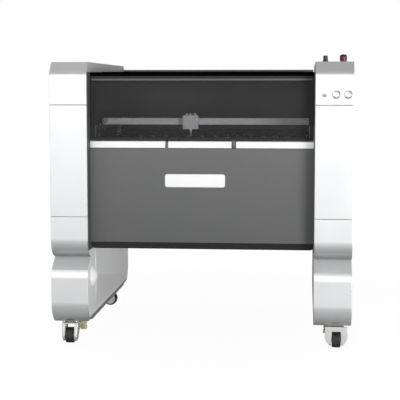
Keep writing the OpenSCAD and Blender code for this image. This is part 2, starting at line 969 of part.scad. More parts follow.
// The moving leaf with the two outer knuckles.
module hinge_leaves() {
    color(steel) placed() for (i = [0 : hinge_count - 1]) translate([hinge_x(i), 0, 0]) difference() {
        union() {
            block([-hinge_length / 2, hinge_depth - leaf_reach, body_top],
                  [hinge_length / 2, hinge_depth - knuckle_radius - 1, body_top + leaf_thick]);
            for (side = [-1, 1]) {
                x0 = side * hinge_length / 3;
                x1 = x0 + knuckle_length / 2;
                rod_x(x1 - knuckle_length, x1, hinge_depth, hinge_height, knuckle_radius);
                block([x1 - knuckle_length, hinge_depth - knuckle_radius - 2, body_top + knuckle_gap],
                      [x1, hinge_depth, body_top + leaf_thick]);
            }
        }
        rod_x(-hinge_length, hinge_length, hinge_depth, hinge_height, hinge_pin_radius + turning);
    }
}

// ---------- Controls ----------

module estop_base() {
    color([0.55, 0.56, 0.56]) placed() difference() {
        union() {
            rod_z(cover_height, cover_height + estop_collar, estop_x, control_depth, estop_radius + 1);
            rod_z(cover_height - barrel_length, cover_height, estop_x, control_depth, estop_barrel_radius);
        }
        translate([0, 0, cover_height])
            rod_z(-barrel_length - over, 10, estop_x, control_depth, estop_stem_radius + running);
    }
}

module estop_button() {
    top = cover_height + estop_height;
    color([0.62, 0.08, 0.10]) placed() {
        rod_z(cover_height - 18, cover_height + 7, estop_x, control_depth, estop_stem_radius);
        rod_z(cover_height + 6, top - 4, estop_x, control_depth, estop_radius);
        translate([estop_x, control_depth, top - 4])
            cylinder(r1 = estop_radius, r2 = estop_radius - 4, h = 4);
    }
}

module selector_base() {
    color(rubber * 2) placed() difference() {
        union() {
            translate([0, 0, cover_height])
                rod_z(0, selector_collar, selector_x, control_depth, selector_barrel_radius + 2);
            rod_z(cover_height - barrel_length, cover_height,
                  selector_x, control_depth, selector_barrel_radius);
        }
        translate([0, 0, cover_height])
            rod_z(-barrel_length - over, 10, selector_x, control_depth, selector_stem_radius + running);
    }
}

module selector_knob() {
    grip_base = selector_height - 8;
    color([0.10, 0.20, 0.16]) placed() translate([selector_x, control_depth, cover_height]) {
        rod_z(-18, selector_collar + 2, 0, 0, selector_stem_radius);
        rod_z(selector_collar + running, grip_base, 0, 0, selector_barrel_radius + 0.5);
        block([-3, -8, grip_base - 1], [3, 8, selector_height]);
    }
}

module button_bezels() {
    color([0.45, 0.46, 0.47]) placed() for (x = button_x) difference() {
        union() {
            rod_y(-control_proud, 0, x, button_height, ring_radius);
            rod_y(0, 20, x, button_height, button_radius + running + sleeve_wall);
        }
        rod_y(-control_proud - over, 21, x, button_height, button_radius + running);
    }
}

module button(x) {
    rod_y(-control_proud + 0.5, 14, x, button_height, button_radius);
}

module button_left() {
    color([0.90, 0.91, 0.91]) placed() button(button_x[0]);
}

module button_right() {
    color([0.90, 0.91, 0.91]) placed() button(button_x[1]);
}

// The oval pilot lamp, grown sideways by extra and made length long.
module pilot_body(extra, length) {
    radius = pilot_radius + extra;
    for (side = [-1, 1]) rod_y(0, length, pilot_x + side * pilot_half_span, pilot_height, radius);
    block([pilot_x - pilot_half_span, 0, pilot_height - radius],
          [pilot_x + pilot_half_span, length, pilot_height + radius]);
}

module pilot_lamp() {
    color([0.12, 0.16, 0.15]) placed() translate([0, -control_proud, 0]) pilot_body(0, 14);
}

// ---------- Casters and feet ----------

module caster_plate(x, depth) {
    plate_base = ground_clearance - plate_thick;
    fork_base = fork_top - fork_plate;
    rod_z(fork_base - 4, ground_clearance, x, depth, kingpin_radius);
    rod_z(fork_base - 4, fork_base - running, x, depth, kingpin_radius + 4);
    rod_z(fork_top + running, plate_base, x, depth, race_radius);
    block([x - plate_half, depth - plate_half, plate_base],
          [x + plate_half, depth + plate_half, ground_clearance]);
}

module caster_plates() {
    color(alloy) placed() for (side = [-1, 1], depth = caster_depths) caster_plate(side * caster_x, depth);
}

// The hooded fork seen from its side.
module cheek_outline() {
    translate([caster_trail, wheel_radius]) circle(r = axle_boss);
    polygon([
        [fork_front, fork_top],
        [fork_back, fork_top],
        [caster_trail + axle_boss, wheel_radius],
        [caster_trail - axle_boss, wheel_radius],
        [fork_front, fork_top - 16]
    ]);
}

// The hooded fork seen from its front, narrower at the axle.
module hood_outline() {
    low = wheel_slot + fork_cheek;
    polygon([
        [-fork_width / 2, fork_top],
        [-fork_width / 2, fork_top - fork_taper],
        [-low, wheel_radius - axle_boss],
        [low, wheel_radius - axle_boss],
        [fork_width / 2, fork_top - fork_taper],
        [fork_width / 2, fork_top]
    ]);
}

// A fork at the origin, with its wheel behind the swivel axis.
module fork() {
    axle_half = wheel_slot + fork_cheek + 5;
    difference() {
        intersection() {
            along_x(-fork_width, fork_width) cheek_outline();
            translate([0, 2 * wheel_radius, 0]) rotate([90, 0, 0])
                linear_extrude(height = 4 * wheel_radius) hood_outline();
        }
        block([-wheel_slot, -2 * wheel_radius, 0], [wheel_slot, 2 * wheel_radius, fork_top - fork_plate]);
        rod_z(0, fork_top + over, 0, 0, kingpin_radius + turning);
    }
    rod_x(-axle_half, axle_half, caster_trail, wheel_radius, shaft_radius);
}

module wheel() {
    hub_half = wheel_slot - 0.6;
    difference() {
        union() {
            rod_x(-tyre_width / 2, tyre_width / 2, caster_trail, wheel_radius, wheel_radius);
            rod_x(-hub_half, hub_half, caster_trail, wheel_radius, hub_radius);
        }
        rod_x(-fork_width, fork_width, caster_trail, wheel_radius, shaft_radius + turning);
    }
}

// Places a caster piece at a corner, turned about its swivel axis.
module at_caster(side, row, turn) {
    translate([side * caster_x, caster_depths[row], 0]) rotate([0, 0, turn]) children();
}

module fork_front_left() {
    color(alloy) placed() at_caster(-1, 0, front_turn) fork();
}

module fork_front_right() {
    color(alloy) placed() at_caster(1, 0, front_turn) fork();
}

module fork_rear_left() {
    color(alloy) placed() at_caster(-1, 1, rear_left_turn) fork();
}

module fork_rear_right() {
    color(alloy) placed() at_caster(1, 1, 0) fork();
}

module wheel_front_left() {
    color(rubber) placed() at_caster(-1, 0, front_turn) wheel();
}

module wheel_front_right() {
    color(rubber) placed() at_caster(1, 0, front_turn) wheel();
}

module wheel_rear_left() {
    color(rubber) placed() at_caster(-1, 1, rear_left_turn) wheel();
}

module wheel_rear_right() {
    color(rubber) placed() at_caster(1, 1, 0) wheel();
}

module levelling_foot(depth) {
    translate([foot_x, depth, foot_height]) cylinder(r = foot_radius, h = foot_thick, $fn = 6);
    rod_z(foot_height + foot_thick - 1, ground_clearance, foot_x, depth, foot_stem_radius);
}

module levelling_feet() {
    color([0.72, 0.66, 0.38]) placed() mirrored_pair() {
        levelling_foot(caster_depths[0] + foot_offset);
        levelling_foot(caster_depths[1] - foot_offset);
    }
}

// ---------- Nodes ----------

left_cap();
left_middle_cover();
left_leg_cover();
right_cap();
right_middle_cover();
right_leg_cover();
leg_frames();
side_plates();
front_panel();
nameplate();
sill_strips();
body_pan();
chamber_tub();
tube_cover();
laser_tube();
tube_clamps();
tube_mirror();
laser_power_supply();
control_box();
exhaust_collar();
power_inlet();
y_rails();
y_motor();
y_belts();
shaft_bearings();
bed_frame();
bed_slats();
hinge_bases();
estop_base();
selector_base();
button_bezels();
pilot_lamp();
caster_plates();
levelling_feet();
y_drive_shaft();
y_idler_pulleys();
x_beam();
y_carriages();
x_motor();
x_drive_pulley();
x_idler_pulley();
x_belt();
beam_mirror();
laser_head();
focus_tube();
lid_frame();
lid_window();
hinge_leaves();
estop_button();
selector_knob();
button_left();
button_right();
fork_front_left();
fork_front_right();
fork_rear_left();
fork_rear_right();
wheel_front_left();
wheel_front_right();
wheel_rear_left();
wheel_rear_right();
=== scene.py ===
"""Looks of a cabinet laser engraving machine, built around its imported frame.

Lengths are metres. X runs across the front to the operator's right, Y from the
front to the back, and Z is up. The origin is on the floor under the middle.
"""
import logging
import math
from dataclasses import dataclass
from enum import Enum
from typing import Callable, Iterable, Sequence

import bmesh
import bpy
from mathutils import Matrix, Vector


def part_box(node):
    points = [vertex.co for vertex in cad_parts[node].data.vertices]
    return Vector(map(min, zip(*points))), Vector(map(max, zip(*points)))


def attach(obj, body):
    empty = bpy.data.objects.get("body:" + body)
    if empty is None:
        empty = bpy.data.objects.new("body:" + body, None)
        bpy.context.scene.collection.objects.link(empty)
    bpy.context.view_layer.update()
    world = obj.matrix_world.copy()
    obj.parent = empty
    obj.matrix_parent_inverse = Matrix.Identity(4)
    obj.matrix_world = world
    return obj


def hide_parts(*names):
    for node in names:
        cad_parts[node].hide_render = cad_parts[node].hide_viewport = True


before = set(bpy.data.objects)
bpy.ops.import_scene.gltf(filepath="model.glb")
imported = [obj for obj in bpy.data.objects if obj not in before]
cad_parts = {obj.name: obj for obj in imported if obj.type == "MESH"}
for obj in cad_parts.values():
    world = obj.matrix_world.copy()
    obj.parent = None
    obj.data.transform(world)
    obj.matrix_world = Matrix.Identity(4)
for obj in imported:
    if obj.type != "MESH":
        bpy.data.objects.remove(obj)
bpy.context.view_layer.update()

log = logging.getLogger("engraver")

Point = tuple[float, float, float]
Flat = tuple[float, float]
Colour = tuple[float, float, float]
Spot = Sequence[float]
Line = Sequence[Flat]
Thing = bpy.types.Object
Socket = bpy.types.NodeSocket
Edge = bmesh.types.BMEdge

ORIGIN = (0.0, 0.0, 0.0)
TINY = 1e-5  # Places closer than this are the same.
OVER = 0.01  # How far a cutter reaches past what it cuts.


class Axis(Enum):
    """One of the three main directions, as its place in a coordinate."""

    X = 0
    Y = 1
    Z = 2

    @property
    def unit(self) -> Vector:
        """The unit vector along the axis."""
        return Vector([float(i == self.value) for i in range(3)])


# ---- modelling ----


def clear() -> None:
    """Leaves edit mode and deselects everything."""
    if bpy.context.object and bpy.context.object.mode != "OBJECT":
        close()
    bpy.ops.object.select_all(action="DESELECT")


def close() -> None:
    """Returns to object mode."""
    bpy.ops.object.mode_set(mode="OBJECT")


def take(piece: Thing) -> None:
    """Makes one piece the only selected and active one.

    Args:
        piece: The piece.
    """
    clear()
    piece.select_set(True)
    bpy.context.view_layer.objects.active = piece


def edit(piece: Thing) -> None:
    """Opens a piece in edit mode with all of it selected.

    Args:
        piece: The piece.
    """
    take(piece)
    bpy.ops.object.mode_set(mode="EDIT")
    bpy.ops.mesh.select_mode(type="VERT")
    bpy.ops.mesh.select_all(action="SELECT")


def drop(piece: Thing) -> None:
    """Removes a piece that only served as a pattern or a cutter."""
    bpy.data.objects.remove(piece, do_unlink=True)


def settle(name: str) -> Thing:
    """Names the active piece and moves its place and turn into its mesh.

    Args:
        name: The piece's name.

    Returns:
        The piece, at the origin, unturned and unscaled.
    """
    piece = bpy.context.object
    piece.name = piece.data.name = name
    bpy.ops.object.transform_apply(location=True, rotation=True, scale=True)
    return piece


def moved(piece: Thing, name: str, move: Spot = ORIGIN, turn: float = 0.0) -> Thing:
    """Copies a piece with its mesh, and turns and moves the copy.

    Args:
        piece: The piece to copy, which is kept.
        name: The copy's name.
        move: How far the copy is moved.
        turn: How far it is turned about Z before that, in degrees.

    Returns:
        The copy.
    """
    twin = piece.copy()
    twin.data = piece.data.copy()
    bpy.context.collection.objects.link(twin)
    twin.location = move
    twin.rotation_euler = (0.0, 0.0, math.radians(turn))
    take(twin)
    return settle(name)


def pick(piece: Thing, wanted: Callable[..., bool], faces: bool = False) -> None:
    """Selects the edges or faces of an open piece that pass a test.

    Args:
        piece: A piece in edit mode.
        wanted: Says whether an edge or a face is taken.
        faces: Whether faces are tested and not edges.
    """
    bpy.ops.mesh.select_mode(type="FACE" if faces else "EDGE")
    bpy.ops.mesh.select_all(action="DESELECT")
    grid = bmesh.from_edit_mesh(piece.data)
    for item in grid.faces if faces else grid.edges:
        if wanted(item):
            item.select_set(True)
    bmesh.update_edit_mesh(piece.data)


def bevel(width: float, steps: int = 2) -> None:
    """Rounds the selected edges by a width, with a number of strips."""
    bpy.ops.mesh.bevel(offset_type="OFFSET", offset=width, segments=steps, affect="EDGES", clamp_overlap=True)


def finish_edit() -> None:
    """Merges doubles, points all faces outwards and returns to object mode."""
    bpy.ops.mesh.select_mode(type="VERT")
    bpy.ops.mesh.select_all(action="SELECT")
    bpy.ops.mesh.remove_doubles(threshold=1e-6)
    bpy.ops.mesh.normals_make_consistent(inside=False)
    close()


def soften(piece: Thing, wanted: Callable[[Edge], bool], width: float, steps: int = 2) -> None:
    """Rounds the edges of a piece that pass a test.

    Args:
        piece: The piece.
        wanted: Says whether an edge is rounded.
        width: How far the rounding reaches from the edge.
        steps: How many strips make the rounding.
    """
    edit(piece)
    pick(piece, wanted)
    bevel(width, steps)
    finish_edit()


def sharp(edge: Edge, angle: float = 1.0) -> bool:
    """Says whether the faces at an edge meet at more than an angle in radians."""
    return edge.calc_face_angle(0.0) > angle


def block(name: str, low: Spot, high: Spot, edge: float = 0.0, steps: int = 2) -> Thing:
    """Makes a block between two opposite corners, with rounded edges.

    Args:
        name: The piece's name.
        low: One corner.
        high: The other corner.
        edge: How far the edges are rounded.
        steps: How many strips make the rounding.

    Returns:
        The block.
    """
    clear()
    middle = [(a + b) / 2 for a, b in zip(low, high)]
    size = [abs(b - a) for a, b in zip(low, high)]
    bpy.ops.mesh.primitive_cube_add(size=1.0, location=middle, scale=size)
    piece = settle(name)
    edit(piece)
    if edge:
        bevel(edge, steps)
    finish_edit()
    return piece


def rod(name: str, start: Spot, end: Spot, radius: float, edge: float = 0.0, sides: int = 32) -> Thing:
    """Makes a rod.

    Args:
        name: The piece's name.
        start: The middle of the first end.
        end: The middle of the other end.
        radius: The rod's radius.
        edge: How far the two rims are rounded.
        sides: How many sides the rod has.

    Returns:
        The rod.
    """
    clear()
    a, b = Vector(start), Vector(end)
    bpy.ops.mesh.primitive_cone_add(vertices=sides, radius1=radius, radius2=radius, depth=(b - a).length,
        location=(a + b) / 2, rotation=(b - a).to_track_quat("Z", "Y").to_euler())
    piece = settle(name)
    edit(piece)
    if edge:
        pick(piece, lambda e: any(len(f.verts) > 4 for f in e.link_faces))
        bevel(edge)
    finish_edit()
    return piece


def trace(name: str, points: Sequence[Spot]) -> Thing:
    """Draws a line of edges by extruding one corner from point to point.

    Args:
        name: The piece's name.
        points: The corners of the line.

    Returns:
        The piece, left open in edit mode with all of it selected.
    """
    clear()
    bpy.ops.mesh.primitive_plane_add(size=0.01, location=points[0])
    piece = settle(name)
    edit(piece)
    bpy.ops.mesh.merge(type="CENTER")
    for a, b in zip(points, points[1:]):
        bpy.ops.mesh.extrude_region_move(TRANSFORM_OT_translate={"value": Vector(b) - Vector(a)})
    bpy.ops.mesh.select_all(action="SELECT")
    return piece


def in_space(flat: Flat, axis: Axis, along: float) -> Point:
    """Adds the coordinate along an axis to the other two."""
    return (*flat[:axis.value], along, *flat[axis.value:])


def prism(name: str, outline: Line, axis: Axis, start: float, end: float) -> Thing:
    """Draws a closed outline and extrudes it along an axis.

    Args:
        name: The piece's name.
        outline: The corners, as the two coordinates other than the axis.
        axis: The direction of the extrusion.
        start: Where the extrusion starts on the axis.
        end: Where it ends.

    Returns:
        The prism.
    """
    piece = trace(name, [in_space(p, axis, start) for p in outline])
    bpy.ops.mesh.edge_face_add()
    bpy.ops.mesh.extrude_region_move(TRANSFORM_OT_translate={"value": axis.unit * (end - start)})
    finish_edit()
    return piece


def lathe(name: str, profile: Line, centre: Spot, axis: Axis, steps: int = 48) -> Thing:
    """Turns a profile about an axis.

    Args:
        name: The piece's name.
        profile: Radius and place along the axis of each corner.
        centre: A point on the axis, from which places are counted.
        axis: The direction of the axis.
        steps: How many strips the turned shape has.

    Returns:
        The turned piece.
    """
    side = Axis((axis.value + 1) % 3).unit
    middle = Vector(centre)
    piece = trace(name, [middle + side * r + axis.unit * h for r, h in profile])
    bpy.ops.mesh.spin(steps=steps, angle=math.tau, center=middle, axis=axis.unit)
    finish_edit()
    return piece


def carve(piece: Thing, cutter: Thing) -> None:
    """Cuts one piece with another, and removes the cutter.

    Args:
        piece: The piece that is cut.
        cutter: The shape that is taken away.
    """
    take(piece)
    cut = piece.modifiers.new("cut", "BOOLEAN")
    cut.operation = "DIFFERENCE"
    cut.solver = "EXACT"
    cut.object = cutter
    bpy.ops.object.modifier_apply(modifier=cut.name)
    drop(cutter)


def join(name: str, pieces: Sequence[Thing]) -> Thing:
    """Joins several pieces into one.

    Args:
        name: The joined piece's name.
        pieces: The pieces, which are used up.

    Returns:
        The joined piece.
    """
    clear()
    for piece in pieces:
        piece.select_set(True)
    bpy.context.view_layer.objects.active = pieces[0]
    if len(pieces) > 1:
        bpy.ops.object.join()
    pieces[0].name = pieces[0].data.name = name
    return pieces[0]


def scatter(name: str, pattern: Thing, spots: Iterable[Spot]) -> Thing:
    """Repeats a pattern that was made at the origin, and joins the repeats.

    Args:
        name: The joined piece's name.
        pattern: The pattern, which is used up.
        spots: The places of the repeats.

    Returns:
        The joined piece.
    """
    made = [moved(pattern, "repeat", spot) for spot in spots]
    drop(pattern)
    return join(name, made)


def screws(name: str, spots: Iterable[Spot], axis: Axis, radius: float = 0.005) -> Thing:
    """Makes button-head screws with a round socket.

    Args:
        name: The joined screws' name.
        spots: The middle of the seat of each screw.
        axis: The direction that the heads stand along.
        radius: The radius of a head, negative where the heads face backwards.

    Returns:
        The screws as one piece.
    """
    size, up = abs(radius), radius * 0.6
    profile = [(0.0, up * 0.35), (size * 0.42, up * 0.35), (size * 0.5, up), (size * 0.78, up * 0.86), (size, up * 0.4),
        (size, -up * 0.1), (0.0, -up * 0.1)]
    return scatter(name, lathe("screw", profile, ORIGIN, axis, 16), spots)


def arc(centre: Flat, radius: float, first: float, last: float, steps: int) -> list[Flat]:
    """Lists the corners of an arc between two angles in degrees, both ends included."""
    angles = [math.radians(first + (last - first) * i / steps) for i in range(steps + 1)]
    return [(centre[0] + radius * math.cos(a), centre[1] + radius * math.sin(a)) for a in angles]


def rounded(points: Line, radii: Spot) -> list[Flat]:
    """Rounds the inner corners of a line.

    Args:
        points: The corners of the line.
        radii: The radius at each inner corner.

    Returns:
        The corners of the rounded line.
    """
    line = [points[0]]
    for before, corner, after, radius in zip(points, points[1:], points[2:], radii):
        middle = Vector(corner)
        u = (Vector(before) - middle).normalized()
        v = (Vector(after) - middle).normalized()
        half = u.angle(v) / 2
        centre = middle + (u + v).normalized() * (radius / math.sin(half))
        first = middle + u * (radius / math.tan(half)) - centre
        last = middle + v * (radius / math.tan(half)) - centre
        swing = first.angle(last)
        for share in (0.0, 0.25, 0.5, 0.75, 1.0):
            spoke = first * math.sin((1 - share) * swing) + last * math.sin(share * swing)
            line.append(tuple(centre + spoke / math.sin(swing)))
    line.append(points[-1])
    return line


def folded(path: Line, thick: float, bend: float) -> list[Flat]:
    """Lists the outline of a folded sheet that lies on the left of a line.

    Args:
        path: The corners of the line.
        thick: The thickness of the sheet.
        bend: The radius on the inside of each bend.

    Returns:
        The corners of the closed outline.
    """
    spots = [Vector(p) for p in path]
    runs = [(b - a).normalized() for a, b in zip(spots, spots[1:])]
    sides = [Vector((-run.y, run.x)) for run in runs]
    far = [spots[0] + sides[0] * thick]
    near_radii, far_radii = [], []
    for i in range(1, len(spots) - 1):
        a, b = sides[i - 1], sides[i]
        far.append(spots[i] + (a + b) * (thick / (1 + a.dot(b))))
        turns_left = runs[i - 1].x * runs[i].y - runs[i - 1].y * runs[i].x > 0
        near_radii.append(bend + thick if turns_left else bend)
        far_radii.append(bend if turns_left else bend + thick)
    far.append(spots[-1] + sides[-1] * thick)
    near = rounded([tuple(p) for p in spots], near_radii)
    return near + rounded([tuple(p) for p in far], far_radii)[::-1]


def plate(width: float, height: float, radius: float, middle: Flat = (0.0, 0.0)) -> list[Flat]:
    """Lists the outline of a plate with rounded corners.

    Args:
        width: Its width.
        height: Its height.
        radius: The radius of its corners.
        middle: Its middle.

    Returns:
        The corners of the outline.
    """
    corners = []
    for sx, sy, start in ((1, 1, 0), (-1, 1, 90), (-1, -1, 180), (1, -1, 270)):
        centre = (middle[0] + sx * (width / 2 - radius), middle[1] + sy * (height / 2 - radius))
        corners += arc(centre, radius, start, start + 90, 5)
    return corners


# ---- finishes ----


class Graph:
    """A node tree with a short way to add nodes to it."""

    def __init__(self, tree: bpy.types.NodeTree) -> None:
        """Keeps the tree that nodes are added to."""
        self.tree = tree

    def feed(self, node: bpy.types.Node, inputs: dict[str | int, Socket | float | tuple]) -> None:
        """Sets or links a node's inputs.

        Args:
            node: The node.
            inputs: The value or the link for each input, by its name or place.
        """
        for key, value in inputs.items():
            if isinstance(value, Socket):
                self.tree.links.new(value, node.inputs[key])
            else:
                node.inputs[key].default_value = value

    def add(self, kind: str, inputs: dict, out: str | int = 0, **options: str) -> Socket:
        """Adds a node and feeds it.

        Args:
            kind: The node's kind.
            inputs: The value or the link for each input, by its name or place.
            out: The output that is wanted.
            **options: The node's own settings.

        Returns:
            The wanted output.
        """
        node = self.tree.nodes.new("ShaderNode" + kind)
        for key, value in options.items():
            setattr(node, key, value)
        self.feed(node, inputs)
        return node.outputs[out]

    def ramp(self, value: Socket, low: float, high: float, start: float = 0.3, end: float = 0.7) -> Socket:
        """Maps a value that runs from start to end to one that runs from low to high."""
        return self.add("MapRange", {"Value": value, "From Min": start, "From Max": end, "To Min": low, "To Max": high},
            "Result")


class Recipe(Graph):
    """A material's nodes while it is being made."""

    def __init__(self, name: str) -> None:
        """Starts a material of the given name with a principled shader."""
        self.material = bpy.data.materials.new(name)
        self.material.use_nodes = True
        super().__init__(self.material.node_tree)
        self.shader = self.tree.nodes["Principled BSDF"]
        self.place = self.add("TexCoord", {}, "Object")

    def noise(self, scale: float, detail: float = 3.0, stretch: Point | None = None) -> Socket:
        """Adds a soft random pattern, made finer along each axis by a stretch."""
        place = self.add("Mapping", {"Vector": self.place, "Scale": stretch}) if stretch else self.place
        return self.add("TexNoise", {"Vector": place, "Scale": scale, "Detail": detail}, "Fac")

    def blend(self, share: Socket, first: tuple | Socket, second: tuple | Socket) -> Socket:
        """Mixes two colours; the share is how much of the second one shows."""
        return self.add("Mix", {"Factor": share, 6: first, 7: second}, 2, data_type="RGBA")


def shaded(colour: Colour, factor: float) -> tuple[float, ...]:
    """Lightens or darkens a colour, and adds its alpha."""
    return (*(min(part * factor, 1.0) for part in colour), 1.0)


@dataclass(frozen=True)
class Patches:
    """A soft pattern that moves a value between two shares of itself."""

    low: float
    high: float
    scale: float
    detail: float = 3.0


@dataclass(frozen=True)
class Finish:
    """A surface finish with soft changes of tone and gloss and a fine skin, and where set a painted shade that darkens
    it towards the bottom.
    """

    name: str
    colour: Colour
    roughness: float
    tone: Patches = Patches(0.9, 1.1, 30.0, 4.0)
    wear: Patches = Patches(0.9, 1.1, 80.0)
    skin: Flat = (900.0, 2.0)
    relief: float = 0.00005
    metallic: float = 0.0
    gloss: float = 0.5
    alpha: float = 1.0
    bending: float = 1.5
    # Painted shade: below the zone the colour darkens to this share of itself.
    painted_shade: float = 1.0
    painted_shade_zone: Flat = (0.33, 0.385)

    def pattern(self, recipe: Recipe, scale: float, detail: float) -> Socket:
        """The random pattern of this kind of finish."""
        return recipe.noise(scale, detail)

    def tint(self, recipe: Recipe) -> Socket:
        """The colour, which varies in patches."""
        share = recipe.ramp(self.pattern(recipe, self.tone.scale, self.tone.detail), 0.0, 1.0)
        return recipe.blend(share, shaded(self.colour, self.tone.low), shaded(self.colour, self.tone.high))

    def material(self) -> bpy.types.Material:
        """Makes the material once and returns it each time after.

        Returns:
            The material.
        """
        known = bpy.data.materials.get("finish_" + self.name)
        if known:
            return known
        recipe = Recipe("finish_" + self.name)
        tint = self.tint(recipe)
        if self.painted_shade < 1.0:
            # Painted shade: the colour darkens towards the lower parts, between the two heights of the zone.
            height = recipe.add("SeparateXYZ", {"Vector": recipe.place}, "Z")
            tint = recipe.blend(recipe.ramp(height, 0.0, 1.0, *self.painted_shade_zone), shaded(self.colour, self.painted_shade), tint)
        worn = recipe.ramp(self.pattern(recipe, self.wear.scale, self.wear.detail), self.roughness * self.wear.low,
            self.roughness * self.wear.high)
        skin = recipe.add("Bump", {"Height": self.pattern(recipe, *self.skin), "Distance": self.relief,
            "Strength": 1.0})
        recipe.feed(recipe.shader, {"Base Color": tint, "Roughness": worn, "Normal": skin, "Metallic": self.metallic,
            "Specular IOR Level": self.gloss, "Alpha": self.alpha, "IOR": self.bending})
        return recipe.material


@dataclass(frozen=True)
class Paint(Finish):
    """Sprayed gloss paint with a faint ripple and soft tone changes."""

    tone: Patches = Patches(0.985, 1.01, 3.0, 4.0)
    wear: Patches = Patches(0.92, 1.1, 14.0, 5.0)
    skin: Flat = (260.0, 2.0)
    relief: float = 0.00004


@dataclass(frozen=True)
class Powder(Finish):
    """Baked powder coat with a fine pebbled skin."""

    tone: Patches = Patches(0.93, 1.07, 1500.0, 2.0)
    wear: Patches = Patches(0.93, 1.08, 40.0)
    relief: float = 0.00012
    gloss: float = 0.25

    def tint(self, recipe: Recipe) -> Socket:
        """The speckled colour under faint clouds."""
        cloud = recipe.ramp(recipe.noise(5.0, 4.0), 0.94, 1.0)
        return recipe.blend(cloud, shaded(self.colour, 0.9), super().tint(recipe))


@dataclass(frozen=True)
class Brushed(Finish):
    """Metal with fine drawn lines along one axis."""

    tone: Patches = Patches(0.9, 1.1, 1.0)
    wear: Patches = Patches(0.8, 1.25, 1.0)
    skin: Flat = (1.0, 3.0)
    relief: float = 0.00003
    metallic: float = 1.0
    along: Axis = Axis.X

    def pattern(self, recipe: Recipe, scale: float, detail: float) -> Socket:
        """The drawn lines, long one way and fine the others."""
        return recipe.noise(scale, detail, tuple(18.0 if axis is self.along else 2400.0 for axis in Axis))


@dataclass(frozen=True)
class Plated(Finish):
    """Zinc or brass plate with cloudy patches and fine scuffs."""

    tone: Patches = Patches(0.84, 1.08, 55.0, 5.0)
    wear: Patches = Patches(0.8, 1.25, 130.0, 4.0)
    skin: Flat = (420.0, 3.0)
    metallic: float = 0.9


@dataclass(frozen=True)
class Rubbery(Finish):
    """Rubber with dusty patches."""

    wear: Patches = Patches(0.9, 1.08, 60.0)
    skin: Flat = (700.0, 2.0)
    relief: float = 0.00008
    dust: Colour = (0.1, 0.1, 0.095)

    def tint(self, recipe: Recipe) -> Socket:
        """Black rubber with dust on it."""
        dusty = recipe.ramp(recipe.noise(90.0, 5.0), 0.0, 0.6, 0.45, 0.75)
        return recipe.blend(dusty, shaded(self.colour, 1.0), shaded(self.dust, 1.0))


@dataclass(frozen=True)
class Clear(Finish):
    """A clear or smoked sheet, seen through by its alpha."""

    tone: Patches = Patches(0.9, 1.1, 6.0, 4.0)
    wear: Patches = Patches(0.8, 1.3, 25.0, 4.0)
    skin: Flat = (9.0, 1.0)
    relief: float = 0.00006
    alpha: float = 0.35
    bending: float = 1.49


COVER = Paint("cover_paint", (0.84, 0.845, 0.85), 0.34, metallic=0.65)
# Painted light: a lighter, plain copy of the cover paint for the legs' inner walls and the band above their crease.
COVER_SIDE_LIT = Paint("cover_side_lit", (0.92, 0.92, 0.92), 0.42)
# Painted light: a lighter, less metallic copy of the cover paint for the slope below the waist.
COVER_SLOPE_LIT = Paint("cover_slope_lit", (0.86, 0.865, 0.87), 0.4, metallic=0.35)
# Painted highlight: pure white for the dome on the left leg's inner wall.
BOSS_HIGHLIGHT = Paint("boss_highlight", (1.0, 1.0, 1.0), 0.4)
# Painted shade: a darker copy of the cover paint for the band below the inner wall's crease.
COVER_FLANK_SHADE = Paint("cover_flank_shade", (0.8, 0.8, 0.8), 0.42)
# Painted shade: a dark grey copy of the cover paint along the legs' rounded lower inner edge.
COVER_KEEL_SHADE = Paint("cover_keel_shade", (0.26, 0.262, 0.265), 0.42, metallic=0.15)
# Painted shade: the cover paint darkened towards the bottom of the waist's underside.
COVER_WAIST_SHADE = Paint("cover_waist_shade", (0.84, 0.845, 0.85), 0.34, metallic=0.65, painted_shade=0.3)
# Painted shade: the cover paint darkened towards the floor on the toe's underside.
COVER_TOE_SHADE = Paint("cover_toe_shade", (0.84, 0.845, 0.85), 0.34, metallic=0.65, painted_shade=0.55, painted_shade_zone=(0.083, 0.166))
# Painted shade: the panel coat darkens towards the bottom of the panels.
PANEL = Powder("panel_coat", (0.16, 0.161, 0.162), 0.5, painted_shade=0.72, painted_shade_zone=(0.35, 0.75))
# Painted shade: a near-black coat for the front panel's downward-facing lower bevel.
FOOT_SHADE = Powder("foot_band_shade", (0.035, 0.035, 0.036), 0.55, gloss=0.1)
RIDGE = Powder("ridge_coat", (0.175, 0.178, 0.182), 0.45)
INNER = Powder("inner_coat", (0.085, 0.086, 0.088), 0.55)
TUB = Powder("tub_enamel", (0.085, 0.086, 0.088), 0.22, gloss=0.5, relief=0.00001)
STRIP = Paint("strip_paint", (0.93, 0.93, 0.93), 0.35, metallic=0.35)
PLATE = Paint("blank_plate", (0.93, 0.93, 0.93), 0.35, metallic=0.35)
LID = Paint("lid_black", (0.002, 0.002, 0.0025), 0.6, gloss=0.0)
TRIM = Powder("lid_trim", (0.145, 0.145, 0.147), 0.45)
RAIL = Powder("lid_rail", (0.034, 0.034, 0.035), 0.5, gloss=0.15)
SMOKE = Clear("smoked_sheet", (0.054, 0.054, 0.055), 0.15, alpha=0.28, gloss=0.08)
TUBE_GLASS = Clear("tube_glass", (0.75, 0.72, 0.8), 0.05)
STEEL = (0.56, 0.57, 0.58)
STEEL_X = Brushed("steel_x", STEEL, 0.3)
STEEL_Y = Brushed("steel_y", STEEL, 0.3, along=Axis.Y)
STEEL_Z = Brushed("steel_z", STEEL, 0.3, along=Axis.Z)
SLAT = Brushed("slat_steel", STEEL, 0.3, along=Axis.Y)
ALLOY = (0.68, 0.69, 0.7)
FAINT = Patches(0.94, 1.06, 1.0)
ALLOY_X = Brushed("alloy_x", ALLOY, 0.38, FAINT)
ALLOY_Y = Brushed("alloy_y", ALLOY, 0.38, FAINT, along=Axis.Y)
ZINC = Plated("zinc", (0.66, 0.66, 0.65), 0.34)
